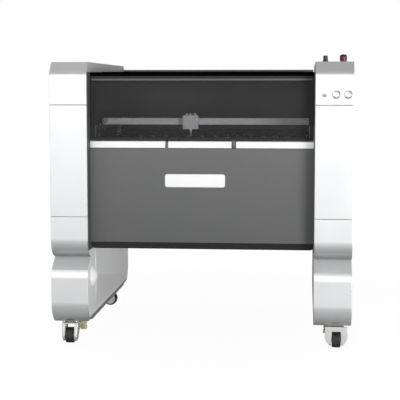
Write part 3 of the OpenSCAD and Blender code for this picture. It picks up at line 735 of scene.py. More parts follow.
BRASS = Plated("yellow_plate", (0.8, 0.74, 0.42), 0.34, metallic=0.5)
HEAD = Powder("head_coat", (0.99, 0.99, 0.99), 0.5)
HOOD = Paint("hood_plate", (0.66, 0.66, 0.64), 0.4, metallic=0.5)
NOZZLE = Plated("nozzle_plate", (0.8, 0.8, 0.79), 0.35, metallic=0.5)
BLUED = Plated("blued_steel", (0.09, 0.09, 0.1), 0.35, metallic=0.6)
TAB = Plated("tab_zinc", (0.85, 0.85, 0.84), 0.4, metallic=0.2)
BEAM = Plated("beam_alloy", (0.98, 0.98, 0.98), 0.42, metallic=0.1)
BLACK = Finish("black_plastic", (0.022, 0.022, 0.024), 0.45)
RED = Finish("red_plastic", (0.085, 0.008, 0.013), 0.34, relief=0.00001)
GREEN = Finish("green_plastic", (0.007, 0.014, 0.013), 0.38, relief=0.00001)
# White of the buttons and the pointer, also used as painted light on the rings' upper left.
BUTTON = Paint("button_face", (0.86, 0.86, 0.86), 0.32, metallic=0.4)
PILOT = Finish("pilot_lens", (0.36, 0.37, 0.37), 0.35, relief=0.00001)
# Painted shade: grey for the front face of the rings' lower right.
RING_FACE_SHADE = Paint("ring_face_shade", (0.4, 0.4, 0.4), 0.4, metallic=0.2)
# Painted shade: dark plate for the rings' lower right, their sides and their backs.
RING_SHADE = Plated("ring_shade_plate", (0.34, 0.35, 0.36), 0.3)
RUBBER = Rubbery("rubber", (0.018, 0.018, 0.018), 0.7)
TREAD = Rubbery("tread", (0.014, 0.014, 0.014), 0.6)

NODE_FINISHES: dict[str, Finish] = {"leg_frames": STEEL_Z, "side_plates": INNER, "hinge_bases": STEEL_X,
    "hinge_leaves": STEEL_X}


def dress_nodes() -> None:
    """Gives every carried-over node its finish."""
    for name, finish in NODE_FINISHES.items():
        dress(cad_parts[name], finish)


def dress(piece: Thing, *finishes: Finish) -> None:
    """Gives a piece its finishes.

    Args:
        piece: The piece.
        *finishes: The finishes, of which its faces have the first.
    """
    piece.data.materials.clear()
    for finish in finishes:
        piece.data.materials.append(finish.material())


def place(piece: Thing, finish: Finish | None, body: str = "root", nodes: Sequence[str] = (), slot: str = "",
        degrees: float = 35.0) -> None:
    """Shades a piece smooth, dresses it and hangs it on a body.

    Args:
        piece: The piece.
        finish: Its finish, or None when its faces already have theirs.
        body: The body it moves with.
        nodes: The nodes that it replaces.
        slot: The name of a record's material slot; not used.
        degrees: Edges sharper than this stay crisp.
    """
    take(piece)
    bpy.ops.object.shade_smooth_by_angle(angle=math.radians(degrees))
    flat = piece.modifiers.new("flat", "WEIGHTED_NORMAL")
    flat.keep_sharp = True
    flat.weight = 100
    bpy.ops.object.modifier_apply(modifier=flat.name)
    if finish:
        dress(piece, finish)
    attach(piece, body)
    if nodes:
        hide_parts(*nodes)
    log.info("%s: %d faces on %s", piece.name, len(piece.data.polygons), body)


def motor(name: str, axis: Axis, middle: Flat, side: float, start: float, end: float) -> Thing:
    """Makes a square stepping motor: two coated ends around a black stack, with a plug.

    Args:
        name: The piece's name.
        axis: The direction of the shaft.
        middle: The shaft's place, as the two coordinates other than the axis.
        side: The width of the square.
        start: Where the motor starts on the axis.
        end: Where it ends.

    Returns:
        The motor, with both its finishes.
    """
    cap = (end - start) * 0.22
    parts = []
    for low, high, shrink in ((start, start + cap, 0.0), (start + cap, end - cap, 0.0024), (end - cap, end, 0.0)):
        size = side - shrink
        parts.append(prism("stack", plate(size, size, side * 0.12, middle), axis, low, high))
    spots = [in_space((middle[0] + a * side * 0.37, middle[1] + b * side * 0.37), axis, end) for a in (-1, 1)
        for b in (-1, 1)]
    parts.append(screws("bolts", spots, axis, side * 0.05))
    low = in_space((middle[0] - side * 0.2, middle[1] - side / 2 - 0.004), axis, end - cap * 1.2)
    high = in_space((middle[0] + side * 0.2, middle[1] - side / 2 + 0.001), axis, end - cap * 0.3)
    parts.append(block("plug", low, high, 0.0008))
    for part, finish in zip(parts, (RAIL, BLACK, RAIL, RAIL, BLACK)):
        dress(part, finish)
    return join(name, parts)


# ---- studio ----


@dataclass
class Studio:
    """The camera, the lamps, the floor and the world."""

    eye: Point = (0.373, -4.7185, 0.9378)
    yaw: float = 5.04
    pitch: float = -5.34
    lens: float = 108.0
    floor_size: float = 30.0
    floor_glow: float = 1.08
    floor_share: float = 0.88

    def camera(self) -> None:
        """Sets the camera at its place."""
        clear()
        turn = (math.radians(90 + self.pitch), 0.0, math.radians(self.yaw))
        bpy.ops.object.camera_add(location=self.eye, rotation=turn)
        camera = bpy.context.object
        camera.name = "camera"
        camera.data.lens = self.lens
        camera.data.sensor_width = 36.0
        camera.data.clip_end = 60.0
        bpy.context.scene.camera = camera

    def lamp(self, name: str, at: Point, aim: Point, size: Flat, power: float) -> None:
        """Adds a soft box.

        Args:
            name: The lamp's name.
            at: Where it stands.
            aim: What it faces.
            size: Its width and height.
            power: Its power in watts.
        """
        clear()
        turn = (Vector(at) - Vector(aim)).to_track_quat("Z", "Y").to_euler()
        bpy.ops.object.light_add(type="AREA", location=at, rotation=turn)
        lamp = bpy.context.object
        lamp.name = name
        lamp.data.shape = "RECTANGLE"
        lamp.data.size, lamp.data.size_y = size
        lamp.data.energy = power

    def lamps(self) -> None:
        """Adds the front, low, top and side soft boxes."""
        self.lamp("front_box", (-2.5, -5.8, 2.2), (0.0, 0.0, 1.2), (9.0, 4.6), 150.0)
        self.lamp("low_box", (4.4, -5.6, 0.5), (-0.4, -0.3, 0.2), (3.0, 1.0), 285.0)
        self.lamp("top_box", (-0.8, -0.6, 3.6), (-0.2, 0.0, 0.6), (2.4, 2.4), 5.0)
        self.lamp("left_box", (-4.2, 1.2, 1.8), (0.0, 0.3, 0.6), (2.4, 2.0), 26.0)
        self.lamp("right_box", (4.2, 1.2, 1.8), (0.0, 0.3, 0.6), (2.4, 2.0), 34.0)

    def world(self) -> None:
        """Makes a pale world that is white to the camera."""
        world = bpy.data.worlds.new("studio")
        bpy.context.scene.world = world
        world.use_nodes = True
        world.node_tree.nodes.clear()
        graph = Graph(world.node_tree)
        rays = graph.add("LightPath", {}).node.outputs
        x, y, z = graph.add("SeparateXYZ", {"Vector": graph.add("TexCoord", {}, "Generated")}).node.outputs
        beside = graph.add("Math", {0: x}, operation="ABSOLUTE")
        # The studio's reflection is white at eye level, darker overhead, behind and beside.
        shade: Socket | float = 1.0
        for value, start, end, last in ((z, 0.15, 0.75, 0.28), (y, -0.2, 0.8, 0.5), (beside, 0.55, 0.85, 0.3)):
            ramp = graph.ramp(value, 1.0, last, start, end)
            shade = graph.add("Math", {0: shade, 1: ramp}, operation="MULTIPLY")
        dim = graph.add("Background", {"Color": (0.96, 0.98, 1.0, 1.0), "Strength": 0.18})
        mirrored = graph.add("Background", {"Color": shade, "Strength": 0.6})
        white = graph.add("Background", {"Color": (1.0, 1.0, 1.0, 1.0), "Strength": 1.0})
        seen = graph.add("Math", {0: rays["Is Camera Ray"], 1: rays["Is Transmission Ray"]}, operation="MAXIMUM")
        light = graph.add("MixShader", {"Fac": rays["Is Glossy Ray"], 1: dim, 2: mirrored})
        light = graph.add("MixShader", {"Fac": seen, 1: light, 2: white})
        out = graph.tree.nodes.new("ShaderNodeOutputWorld")
        graph.tree.links.new(light, out.inputs["Surface"])

    def floor(self) -> None:
        """Adds a pale floor that keeps the machine's shadow."""
        clear()
        bpy.ops.mesh.primitive_plane_add(size=self.floor_size, location=ORIGIN)
        floor = settle("floor")
        recipe = Recipe("floor_white")
        recipe.feed(recipe.shader, {"Base Color": (0.78, 0.78, 0.78, 1.0), "Roughness": 0.9})
        # The shadow fades out with the distance from the machine.
        reach = recipe.add("VectorMath", {0: recipe.place}, "Value", operation="LENGTH")
        fade = recipe.ramp(reach, self.floor_share, 1.0, 1.2, 3.5)
        seen = recipe.add("LightPath", {}, "Is Camera Ray")
        share = recipe.add("Math", {0: seen, 1: fade}, operation="MULTIPLY")
        glow = recipe.add("Emission", {"Strength": self.floor_glow})
        mix = recipe.add("MixShader", {"Fac": share, 1: recipe.shader.outputs["BSDF"], 2: glow})
        recipe.tree.links.new(mix, recipe.tree.nodes["Material Output"].inputs["Surface"])
        floor.data.materials.append(recipe.material)

    def build(self) -> None:
        """Sets up the whole studio."""
        bpy.context.scene.view_settings.view_transform = "Standard"
        self.camera()
        self.lamps()
        self.world()
        self.floor()


# ---- parts of the machine ----


class Side(Enum):
    """The two sides of the machine, with the sign of their X."""

    LEFT = -1
    RIGHT = 1

    @property
    def word(self) -> str:
        """The word that names the side's nodes."""
        return self.name.lower()


@dataclass
class SideCovers:
    """The two tall side covers, each in three sections."""

    waist_radius: float = 0.07
    waist_height: float = 0.325
    crease_height: float = 0.283
    bulge_radius: float = 0.072
    bulge_height: float = 0.25
    toe_radius: float = 0.08
    heel_radius: float = 0.09
    top_bevel: float = 0.04
    rear_bevel: float = 0.055
    step_drop: float = 0.014
    step_depth: float = 0.095
    edge: float = 0.0035
    fold: float = 0.012
    keel: float = 0.023
    seam_edge: float = 0.0032
    wall: float = 0.004
    open_top: float = 0.97
    open_foot: float = 0.36
    dome: float = 0.02
    crease_front: Flat = (0.158, 0.244)
    crease_rear: Flat = (0.86, 0.135)
    boss: Flat = (0.088, 0.252)
    fold_height: float = 0.003

    def outline(self, front: float, rear: float, low: float, high: float) -> list[Flat]:
        """Lists the corners of a cover seen from its side.

        Args:
            front: The Y of the front face.
            rear: The Y of the back face.
            low: The height of the underside.
            high: The height of the top.

        Returns:
            The corners in Y and Z, from the toe round to the waist.
        """
        lift = self.crease_height - self.bulge_height
        crease = front + self.bulge_radius - math.sqrt(self.bulge_radius ** 2 - lift ** 2)
        tilt = math.degrees(math.asin(lift / self.bulge_radius))
        step = high - self.step_drop
        corners = arc((front + self.toe_radius, low + self.toe_radius), self.toe_radius, 180, 270, 16)
        corners += arc((rear - self.heel_radius, low + self.heel_radius), self.heel_radius, 270, 360, 16)
        corners += [(rear, step - self.rear_bevel), (rear - self.rear_bevel, step), (rear - self.step_depth, step),
            (rear - self.step_depth, high), (front + self.top_bevel, high), (front, high - self.top_bevel)]
        corners += arc((front + self.waist_radius, self.waist_height + self.waist_radius), self.waist_radius, 180, 270,
            18)
        corners += [(crease, self.crease_height)]
        corners += arc((front + self.bulge_radius, self.bulge_height), self.bulge_radius, 180 - tilt, 180, 6)[1:]
        return corners

    def shell(self, side: Side) -> Thing:
        """Makes one whole cover with rounded edges.

        Args:
            side: Which cover.

        Returns:
            The cover, not yet cut into sections.
        """
        leg_low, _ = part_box(side.word + "_leg_cover")
        cap_low, cap_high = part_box(side.word + "_cap")
        near = min(abs(cap_low.x), abs(cap_high.x))
        far = max(abs(cap_low.x), abs(cap_high.x))
        outline = self.outline(cap_low.y, cap_high.y, leg_low.z, cap_high.z)
        sign = side.value
        piece = prism(side.word + "_shell", outline, Axis.X, sign * near, sign * far)
        edit(piece)
        pick(piece, lambda e: abs(e.verts[0].co.x - e.verts[1].co.x) < TINY and sharp(e, 1.2))
        bevel(self.edge, 3)
        crease = cap_high.z - self.top_bevel
        pick(piece, lambda e: abs(e.verts[0].co.x - e.verts[1].co.x) >= 0.05 and abs(e.verts[0].co.y - cap_low.y) < TINY
            and abs(e.verts[0].co.z - crease) < TINY)
        bevel(self.fold, 6)
        finish_edit()
        return piece

    def section(self, shell: Thing, name: str, low: float | None, high: float | None) -> Thing:
        """Cuts one section out of a copy of a cover.

        Args:
            shell: The whole cover.
            name: The section's name.
            low: The height of the lower seam, or None.
            high: The height of the upper seam, or None.

        Returns:
            The section.
        """
        piece = moved(shell, name)
        edit(piece)
        for level, up in ((low, True), (high, False)):
            if level is None:
                continue
            bpy.ops.mesh.select_all(action="SELECT")
            bpy.ops.mesh.bisect(plane_co=(0.0, 0.0, level), plane_no=Axis.Z.unit, use_fill=True, clear_inner=up,
                clear_outer=not up)
            pick(piece, lambda e: all(abs(v.co.z - level) < TINY for v in e.verts))
            bevel(self.seam_edge, 2)
        finish_edit()
        return piece

    def hollow(self, piece: Thing, side: Side, depth: Flat, height: Flat) -> None:
        """Hollows a section from its inner side.

        Args:
            piece: The section.
            side: Which cover.
            depth: The first and last Y of the hollow.
            height: The lowest and highest Z of the hollow.
        """
        low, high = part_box(side.word + "_cap")
        near, far = sorted((abs(low.x), abs(high.x)))
        for start, end, top in ((near + self.wall, far - self.wall, height[1]), (near - OVER, near + 2 * self.wall,
                min(height[1], self.open_top))):
            xs = sorted((side.value * start, side.value * end))
            cutter = block("hollow", (xs[0], depth[0], height[0]), (xs[1], depth[1], top))
            carve(piece, cutter)

    def inner_wall(self, leg: Thing, side: Side) -> Thing:
        """Shapes and dresses a leg's inner wall: its rolled foot, its boss and its fold, with painted light and shade
        in lighter and darker copies of the cover paint.

        Args:
            leg: The leg section.
            side: Which cover; the right one is nearly plain.

        Returns:
            The leg with its inner wall.
        """
        low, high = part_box(side.word + "_cap")
        sign, front = side.value, low.y
        near = min(abs(low.x), abs(high.x))
        share = 1.0 if side is Side.LEFT else 0.2
        foot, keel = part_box(side.word + "_leg_cover")[0].z, self.keel * share
        corner = [(near - 0.001, foot - 0.001), (near + keel, foot - 0.001)]
        corner += arc((near + keel, foot + keel), keel, 270, 180, 6) + [(near - 0.001, foot + keel)]
        carve(leg, prism("keel", [(sign * x, z) for x, z in corner], Axis.Y, front - OVER, high.y + OVER))
        parts = [leg]
        if side is Side.LEFT:
            profile = [(0.0, 1.0), (0.01, 0.94), (0.019, 0.78), (0.027, 0.56), (0.034, 0.3), (0.04, -0.05), (0.0,
                -0.05)]
            centre = (sign * near, front + self.boss[0], self.boss[1])
            parts.append(lathe("boss", [(r, -sign * h * self.dome) for r, h in profile], centre, Axis.X))
            # Painted highlight: the dome is painted pure white.
            dress(parts[-1], BOSS_HIGHLIGHT)
        rise = self.fold_height * share
        crease = [(front + y, z) for y, z in (self.crease_front, self.crease_rear)]
        # Painted light and shade: the band above the crease takes the lighter copy, the band below it the darker copy.
        for front_lift, rear_lift, finish in ((0.11, 0.055, COVER_SIDE_LIT), (-0.12, -0.022, COVER_FLANK_SHADE)):
            outline = [*crease, (crease[1][0], crease[1][1] + rear_lift), (crease[0][0], crease[0][1] + front_lift)]
            wedge = prism("wedge", outline, Axis.X, sign * (near + 0.001), sign * (near - rise))
            edit(wedge)
            pick(wedge, lambda e: all(abs(v.co.x) < near - TINY and all(abs(v.co.z - z) > 0.01 or abs(v.co.y - y) > 0.01
                for y, z in crease) for v in e.verts))
            bpy.ops.transform.translate(value=(sign * rise, 0.0, 0.0))
            close()
            dress(wedge, finish)
            parts.append(wedge)
        dress(leg, COVER, COVER_SIDE_LIT, COVER_KEEL_SHADE, COVER_WAIST_SHADE, COVER_SLOPE_LIT, COVER_TOE_SHADE)
        for face in leg.data.polygons:
            at, way = face.center, face.normal
            inward, x = way.x * -sign, at.x * sign
            # Painted shade: the downward faces of the rolled lower inner edge take the dark grey copy.
            if inward > 0.1 and way.z < -0.1 and x < near + keel:
                face.material_index = 2
            # Painted light: the lower inner wall takes the lighter plain copy of the cover paint.
            elif inward > 0.5 and x < near + 0.006 and at.z < self.open_foot:
                face.material_index = 1
            # Painted shade: the waist's underside takes the darkened copy of the cover paint.
            elif way.z < -0.03 and self.waist_height - 0.002 < at.z < self.waist_height + self.waist_radius:
                face.material_index = 3
            # Painted light: the upward slope below the waist takes the lighter, less metallic copy.
            elif way.z > 0.7 and way.y < -0.3 and self.bulge_height < at.z < self.waist_height:
                face.material_index = 4
            # Painted shade: the toe's rounded underside takes the darkened copy of the cover paint.
            elif way.z < -0.03 and way.y < 0.0 and max(at.z - foot, at.y - front) < self.toe_radius:
                face.material_index = 5
        return join(leg.name, parts)

    def controls(self, cap: Thing) -> None:
        """Cuts the holes for the controls in the right cap.

        Args:
            cap: The right cap.
        """
        for name in ("button_left", "button_right"):
            low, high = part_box(name)
            x, _, z = (low + high) / 2
            radius = (high.x - low.x) / 2 + 0.0026
            carve(cap, rod("hole", (x, low.y - OVER, z), (x, high.y + OVER, z), radius, sides=40))
        for name, radius in (("estop_base", 0.0113), ("selector_base", 0.0083)):
            low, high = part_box(name)
            x, y, _ = (low + high) / 2
            carve(cap, rod("hole", (x, y, low.z - OVER), (x, y, high.z + OVER), radius, sides=40))
        low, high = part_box("pilot_lamp")
        middle, reach = (low + high) / 2, (high - low) * 0.31
        reach.y = (high.y - low.y) / 2 + OVER
        carve(cap, block("hole", middle - reach, middle + reach))

    def build(self) -> None:
        """Builds, cuts and dresses both covers."""
        for side in Side:
            word = side.word
            shell = self.shell(side)
            cap_low, cap_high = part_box(word + "_cap")
            mid_low, mid_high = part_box(word + "_middle_cover")
            leg_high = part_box(word + "_leg_cover")[1]
            depth = (cap_low.y + self.wall, cap_high.y - self.wall)
            cap = self.section(shell, word + "_cap_skin", cap_low.z, None)
            self.hollow(cap, side, (cap_low.y + 0.045, cap_high.y - 0.1), (cap_low.z - OVER, cap_high.z - self.wall))
            if side is Side.RIGHT:
                self.controls(cap)
            middle = self.section(shell, word + "_middle_skin", mid_low.z, mid_high.z)
            self.hollow(middle, side, depth, (mid_low.z - OVER, mid_high.z + OVER))
            leg = self.section(shell, word + "_leg_skin", None, leg_high.z)
            self.hollow(leg, side, (cap_low.y + 0.075, cap_high.y - self.wall), (self.open_foot, leg_high.z + OVER))
            drop(shell)
            place(cap, COVER, "root", [word + "_cap"], "cover_white", 25.0)
            place(middle, COVER, "root", [word + "_middle_cover"], "cover_white", 25.0)
            place(self.inner_wall(leg, side), None, "root", [word + "_leg_cover"], "cover_white", 25.0)


@dataclass
class Cabinet:
    """The body between the covers: panels, tub, sill and nameplate."""

    sheet: float = 0.002
    bend: float = 0.003
    front_bevel: float = 0.028
    corner: float = 0.01
    rear_seam: float = 0.894
    vent_low: float = 0.42
    vent_pitch: float = 0.014
    vent_slot: float = 0.006
    vents: int = 9
    vent_ends: Flat = (0.2, 0.32)
    collar_centre: float = 0.56
    collar_radius: float = 0.071
    inlet_middle: Flat = (-0.3, 0.434)
    inlet_half: Flat = (0.024, 0.014)
    slots: int = 15
    slot_pitch: float = 0.051
    slot_half: float = 0.012
    joint_half: float = 0.0055

    def fold(self, name: str, node: str, path: Line, thick: float, bend: float) -> Thing:
        """Makes a folded sheet as wide as the node it stands for, from its path in Y and Z."""
        low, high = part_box(node)
        return prism(name, folded(path, thick, bend), Axis.X, low.x, high.x)

    def front_panel(self) -> None:
        """Makes the front panel with rounded lower corners and a painted shade on its lower bevel."""
        low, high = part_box("front_panel")
        path = [(low.y + 0.029, high.z), (low.y, high.z), (low.y, low.z + self.front_bevel), (low.y + self.front_bevel,
            low.z), (high.y, low.z)]
        piece = self.fold("front_panel_skin", "front_panel", path, self.sheet, self.bend)
        for sign in (-1, 1):
            edge = sign * high.x
            outline = [(edge + sign * 0.01, low.z - OVER), (edge - sign * self.corner, low.z - OVER)]
            centre = (edge - sign * self.corner, low.z + self.corner)
            outline += arc(centre, self.corner, 270, 360 if sign > 0 else 180, 8)
            outline.append((edge + sign * 0.01, low.z + self.corner))
            carve(piece, prism("corner", outline, Axis.Y, low.y - OVER, high.y + OVER))
        dress(piece, PANEL, FOOT_SHADE)
        # Painted shade: the lower bevel's faces take the near-black coat.
        for face in piece.data.polygons:
            face.material_index = int(face.center.z < low.z + self.front_bevel - 0.001)
        place(piece, None, "root", ["front_panel"], "panel_grey")

    def back_panel(self) -> None:
        """Makes the floor and back of the body with its cut-outs and louvres."""
        low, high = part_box("body_pan")
        path = [(low.y, low.z), (high.y, low.z), (high.y, high.z)]
        piece = self.fold("body_pan_skin", "body_pan", path, self.sheet, self.bend)
        back, front = high.y + OVER, high.y - 0.01
        carve(piece, rod("hole", (0.0, front, self.collar_centre), (0.0, back, self.collar_centre), self.collar_radius,
            sides=64))
        x, z = self.inlet_middle
        w, h = self.inlet_half
        carve(piece, block("hole", (x - w, front, z - h), (x + w, back, z + h)))
        slot = prism("slot", plate(self.vent_ends[1] - self.vent_ends[0], self.vent_slot, 0.0029), Axis.Y, front, back)
        middle = sum(self.vent_ends) / 2
        heights = [self.vent_low + self.vent_slot / 2 + i * self.vent_pitch for i in range(self.vents)]
        carve(piece, scatter("slots", slot, [(middle, 0.0, z) for z in heights]))
        place(piece, PANEL, "root", ["body_pan"], "panel_grey")
        hood = prism("hood", [(high.y - 0.0005, 0.007), (high.y + 0.0055, 0.0005), (high.y + 0.0048, 0.0),
            (high.y - 0.0005, 0.0055)], Axis.X, -0.058, 0.058)
        edit(hood)
        bevel(0.0003, 1)
        close()
        place(scatter("vent_louvres", hood, [(middle, 0.0, z + 0.0015) for z in heights]), PANEL, "root", (),
            "panel_grey")
        spots = [(x, high.y, z) for x in (low.x + 0.012, high.x - 0.012) for z in (0.385, 0.53, 0.69, 0.85)]
        spots += [(x, high.y, 0.875) for x in (-0.26, -0.13, 0.0, 0.13, 0.26)]
        spots += [(x, high.y, self.rear_seam + 0.02) for x in (-0.35, -0.12, 0.12, 0.35)]
        place(screws("back_screws", spots, Axis.Y), ZINC)

    def tub(self) -> None:
        """Makes the work chamber's folded floor and walls with their openings."""
        low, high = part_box("chamber_tub")
        path = [(low.y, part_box("sill_strips")[1].z - self.sheet), (low.y, low.z), (high.y, low.z), (high.y, high.z)]
        piece = self.fold("chamber_tub_skin", "chamber_tub", path, 0.0015, self.bend)
        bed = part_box("bed_slats")[1].z
        slot = prism("slot", plate(2 * self.slot_half, 0.01, 0.0045), Axis.Y, high.y - OVER, high.y + OVER)
        middle = (self.slots - 1) / 2
        places = [((i - middle) * self.slot_pitch, 0.0, bed + 0.009) for i in range(self.slots)]
        carve(piece, scatter("slots", slot, places))
        beam = sum(corner.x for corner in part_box("beam_mirror")) / 2 + 0.0005
        optic = sum(corner.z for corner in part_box("tube_mirror")) / 2
        carve(piece, rod("hole", (beam, high.y - OVER, optic), (beam, high.y + OVER, optic), 0.01))
        place(piece, TUB, "root", ["chamber_tub"], "dark_grey")

    def rear_ridge(self) -> None:
        """Makes the folded cover over the laser bay, its ridge and its screws."""
        low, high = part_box("tube_cover")
        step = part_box("left_cap")[1].y - 0.095 + 0.004
        top = 0.994
        path = [(high.y, low.z), (high.y, high.z - 0.015), (high.y - 0.015, high.z), (step, high.z), (step, top),
            (low.y + self.sheet, top), (low.y + self.sheet, top - 0.04)]
        place(self.fold("tube_cover_skin", "tube_cover", path, self.sheet, 0.002), RIDGE, "root", ["tube_cover"],
            "panel_grey")
        spots = [(x, y, top) for x in (-0.37, -0.12, 0.12, 0.37) for y in (low.y + 0.05, step - 0.02)]
        place(screws("ridge_screws", spots, Axis.Z, 0.0045), ZINC)

    def sill(self) -> None:
        """Makes the white sill strips with soft bends, and the straps behind their joints."""
        low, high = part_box("sill_strips")
        joint, notch, gap = -0.1243, 0.1167, 0.008
        ends = [(low.x, joint - self.joint_half), (joint + self.joint_half, notch - gap), (notch + gap, high.x)]
        path = [(high.y, high.z), (low.y, high.z), (low.y, low.z)]
        made = []
        for first, last in ends:
            made.append(prism("strip", folded(path, self.sheet, self.bend), Axis.X, first, last))
            soften(made[-1], lambda e: all(min(abs(v.co.x - first), abs(v.co.x - last)) < TINY for v in e.verts),
                0.0006)
        place(join("sill_strip_skins", made), STRIP, "root", ["sill_strips"], "strip_white")
        place(block("sill_strap", (joint - 0.01, low.y + self.sheet, low.z - 0.004), (joint + 0.01, low.y + 0.0045,
            high.z - 0.0025), 0.0005), TRIM, "root", (), "panel_grey")

    def nameplate(self) -> None:
        """Makes the blank nameplate with a raised rim."""
        low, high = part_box("nameplate")
        x, _, z = (low + high) / 2
        outline = plate(high.x - low.x, high.z - low.z, 0.008, (x, z))
        piece = prism("nameplate_blank", outline, Axis.Y, high.y, low.y)
        edit(piece)
        pick(piece, lambda f: f.normal.y < -0.9 and f.calc_area() > 1e-4, faces=True)
        for thickness, depth in ((0.0006, 0.0), (0.0016, 0.0), (0.0004, -0.0005)):
            bpy.ops.mesh.inset(thickness=thickness, depth=depth)
        pick(piece, lambda e: all(abs(v.co.y - low.y) < TINY for v in e.verts) and any(abs(f.normal.y) < 0.1
            for f in e.link_faces))
        bevel(0.0005)
        finish_edit()
        place(piece, PLATE, "root", ["nameplate"], "plate_white")

    def build(self) -> None:
        """Builds the panels, the tub, the sill and the nameplate."""
        self.front_panel()
        self.back_panel()
        self.tub()
        self.rear_ridge()
        self.sill()
        self.nameplate()


@dataclass
class Lid:
    """The hinged lid: black shell, dark frame, bright trim and smoked sheet."""

    edge_height: float = 0.014
    ring: float = 0.014
    setback: float = 0.002
    side_border: float = 0.01
    window_low: float = 0.758
    window_high: float = 0.962
    frame_low: float = 0.75
    trim_low: float = 0.9643
    trim_height: float = 0.0058
    catch_middle: float = 0.1167
    catch_half: float = 0.006
    press_margin: float = 0.034

    def shell(self) -> None:
        """Makes the flat black shell with a raised field, hollow underneath."""
        low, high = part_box("lid_frame")
        base = high.z - self.edge_height
        piece = block("lid_shell", (low.x, low.y, base), (high.x, high.y, high.z))
        edit(piece)
        pick(piece, lambda f: f.normal.z > 0.9, faces=True)
        bpy.ops.mesh.inset(thickness=self.press_margin, depth=0.0)
        bpy.ops.mesh.inset(thickness=0.004, depth=0.0015)
        pick(piece, sharp)
        bevel(0.002, 3)
        close()
        cutter = block("hollow", (low.x + 0.002, low.y + self.ring, base - OVER), (high.x - 0.002, high.y - 0.002,
            high.z - 0.002), 0.001)
        carve(piece, cutter)
        place(piece, LID, "lid", ["lid_frame"], "lid_black")

    def front_frame(self) -> None:
        """Makes the frame around the window, its seal, its catch and the trim."""
        low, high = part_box("lid_frame")
        top = high.z - self.edge_height
        front, back = low.y + self.setback, low.y + self.ring
        piece = block("lid_front", (low.x, front, self.frame_low), (high.x, back, top), 0.0012)
        carve(piece, block("hole", (low.x + self.side_border, front - OVER, self.window_low),
            (high.x - self.side_border, back + OVER, self.window_high)))
        place(piece, RAIL, "lid", (), "lid_black")
        place(block("lid_trim_line", (low.x + 0.004, front - 0.0015, self.trim_low), (high.x - 0.004, front + 0.001,
            self.trim_low + self.trim_height), 0.0006), TRIM, "lid", (), "steel")
        low_w, high_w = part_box("lid_window")
        place(block("window_sheet", low_w, high_w, 0.0005), SMOKE, "lid", ["lid_window"], "smoke")
        middle = ((low.x + high.x) / 2, (self.window_low + self.window_high) / 2)
        width, height = high_w.x - low_w.x, high_w.z - low_w.z
        seal = prism("window_seal", plate(width + 0.008, height + 0.008, 0.004, middle), Axis.Y, back, back + 0.003)
        hole = prism("hole", plate(width - 0.006, height - 0.006, 0.003, middle), Axis.Y, back - OVER, back + OVER)
        carve(seal, hole)
        place(seal, RUBBER, "lid", (), "rubber")
        place(block("lid_catch", (self.catch_middle - self.catch_half, low.y + 0.003, low.z),
            (self.catch_middle + self.catch_half, low.y + 0.006, self.frame_low + 0.001), 0.0008), TRIM, "lid", (),
            "steel")

    def hinges(self) -> None:
        """Adds the screws of the three hinges."""
        low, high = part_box("hinge_leaves")
        _, base_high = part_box("hinge_bases")
        top = low.z + 0.002
        middles = (low.x + 0.045, 0.0, high.x - 0.045)
        for name, y, body in (("leaf_screws", low.y + 0.012, "lid"), ("base_screws", base_high.y - 0.012, "root")):
            spots = [(x + dx, y, top) for x in middles for dx in (-0.033, 0.0, 0.033)]
            place(screws(name, spots, Axis.Z, 0.0034), ZINC, body)

    def build(self) -> None:
        """Builds the lid."""
        self.shell()
        self.front_frame()
        self.hinges()


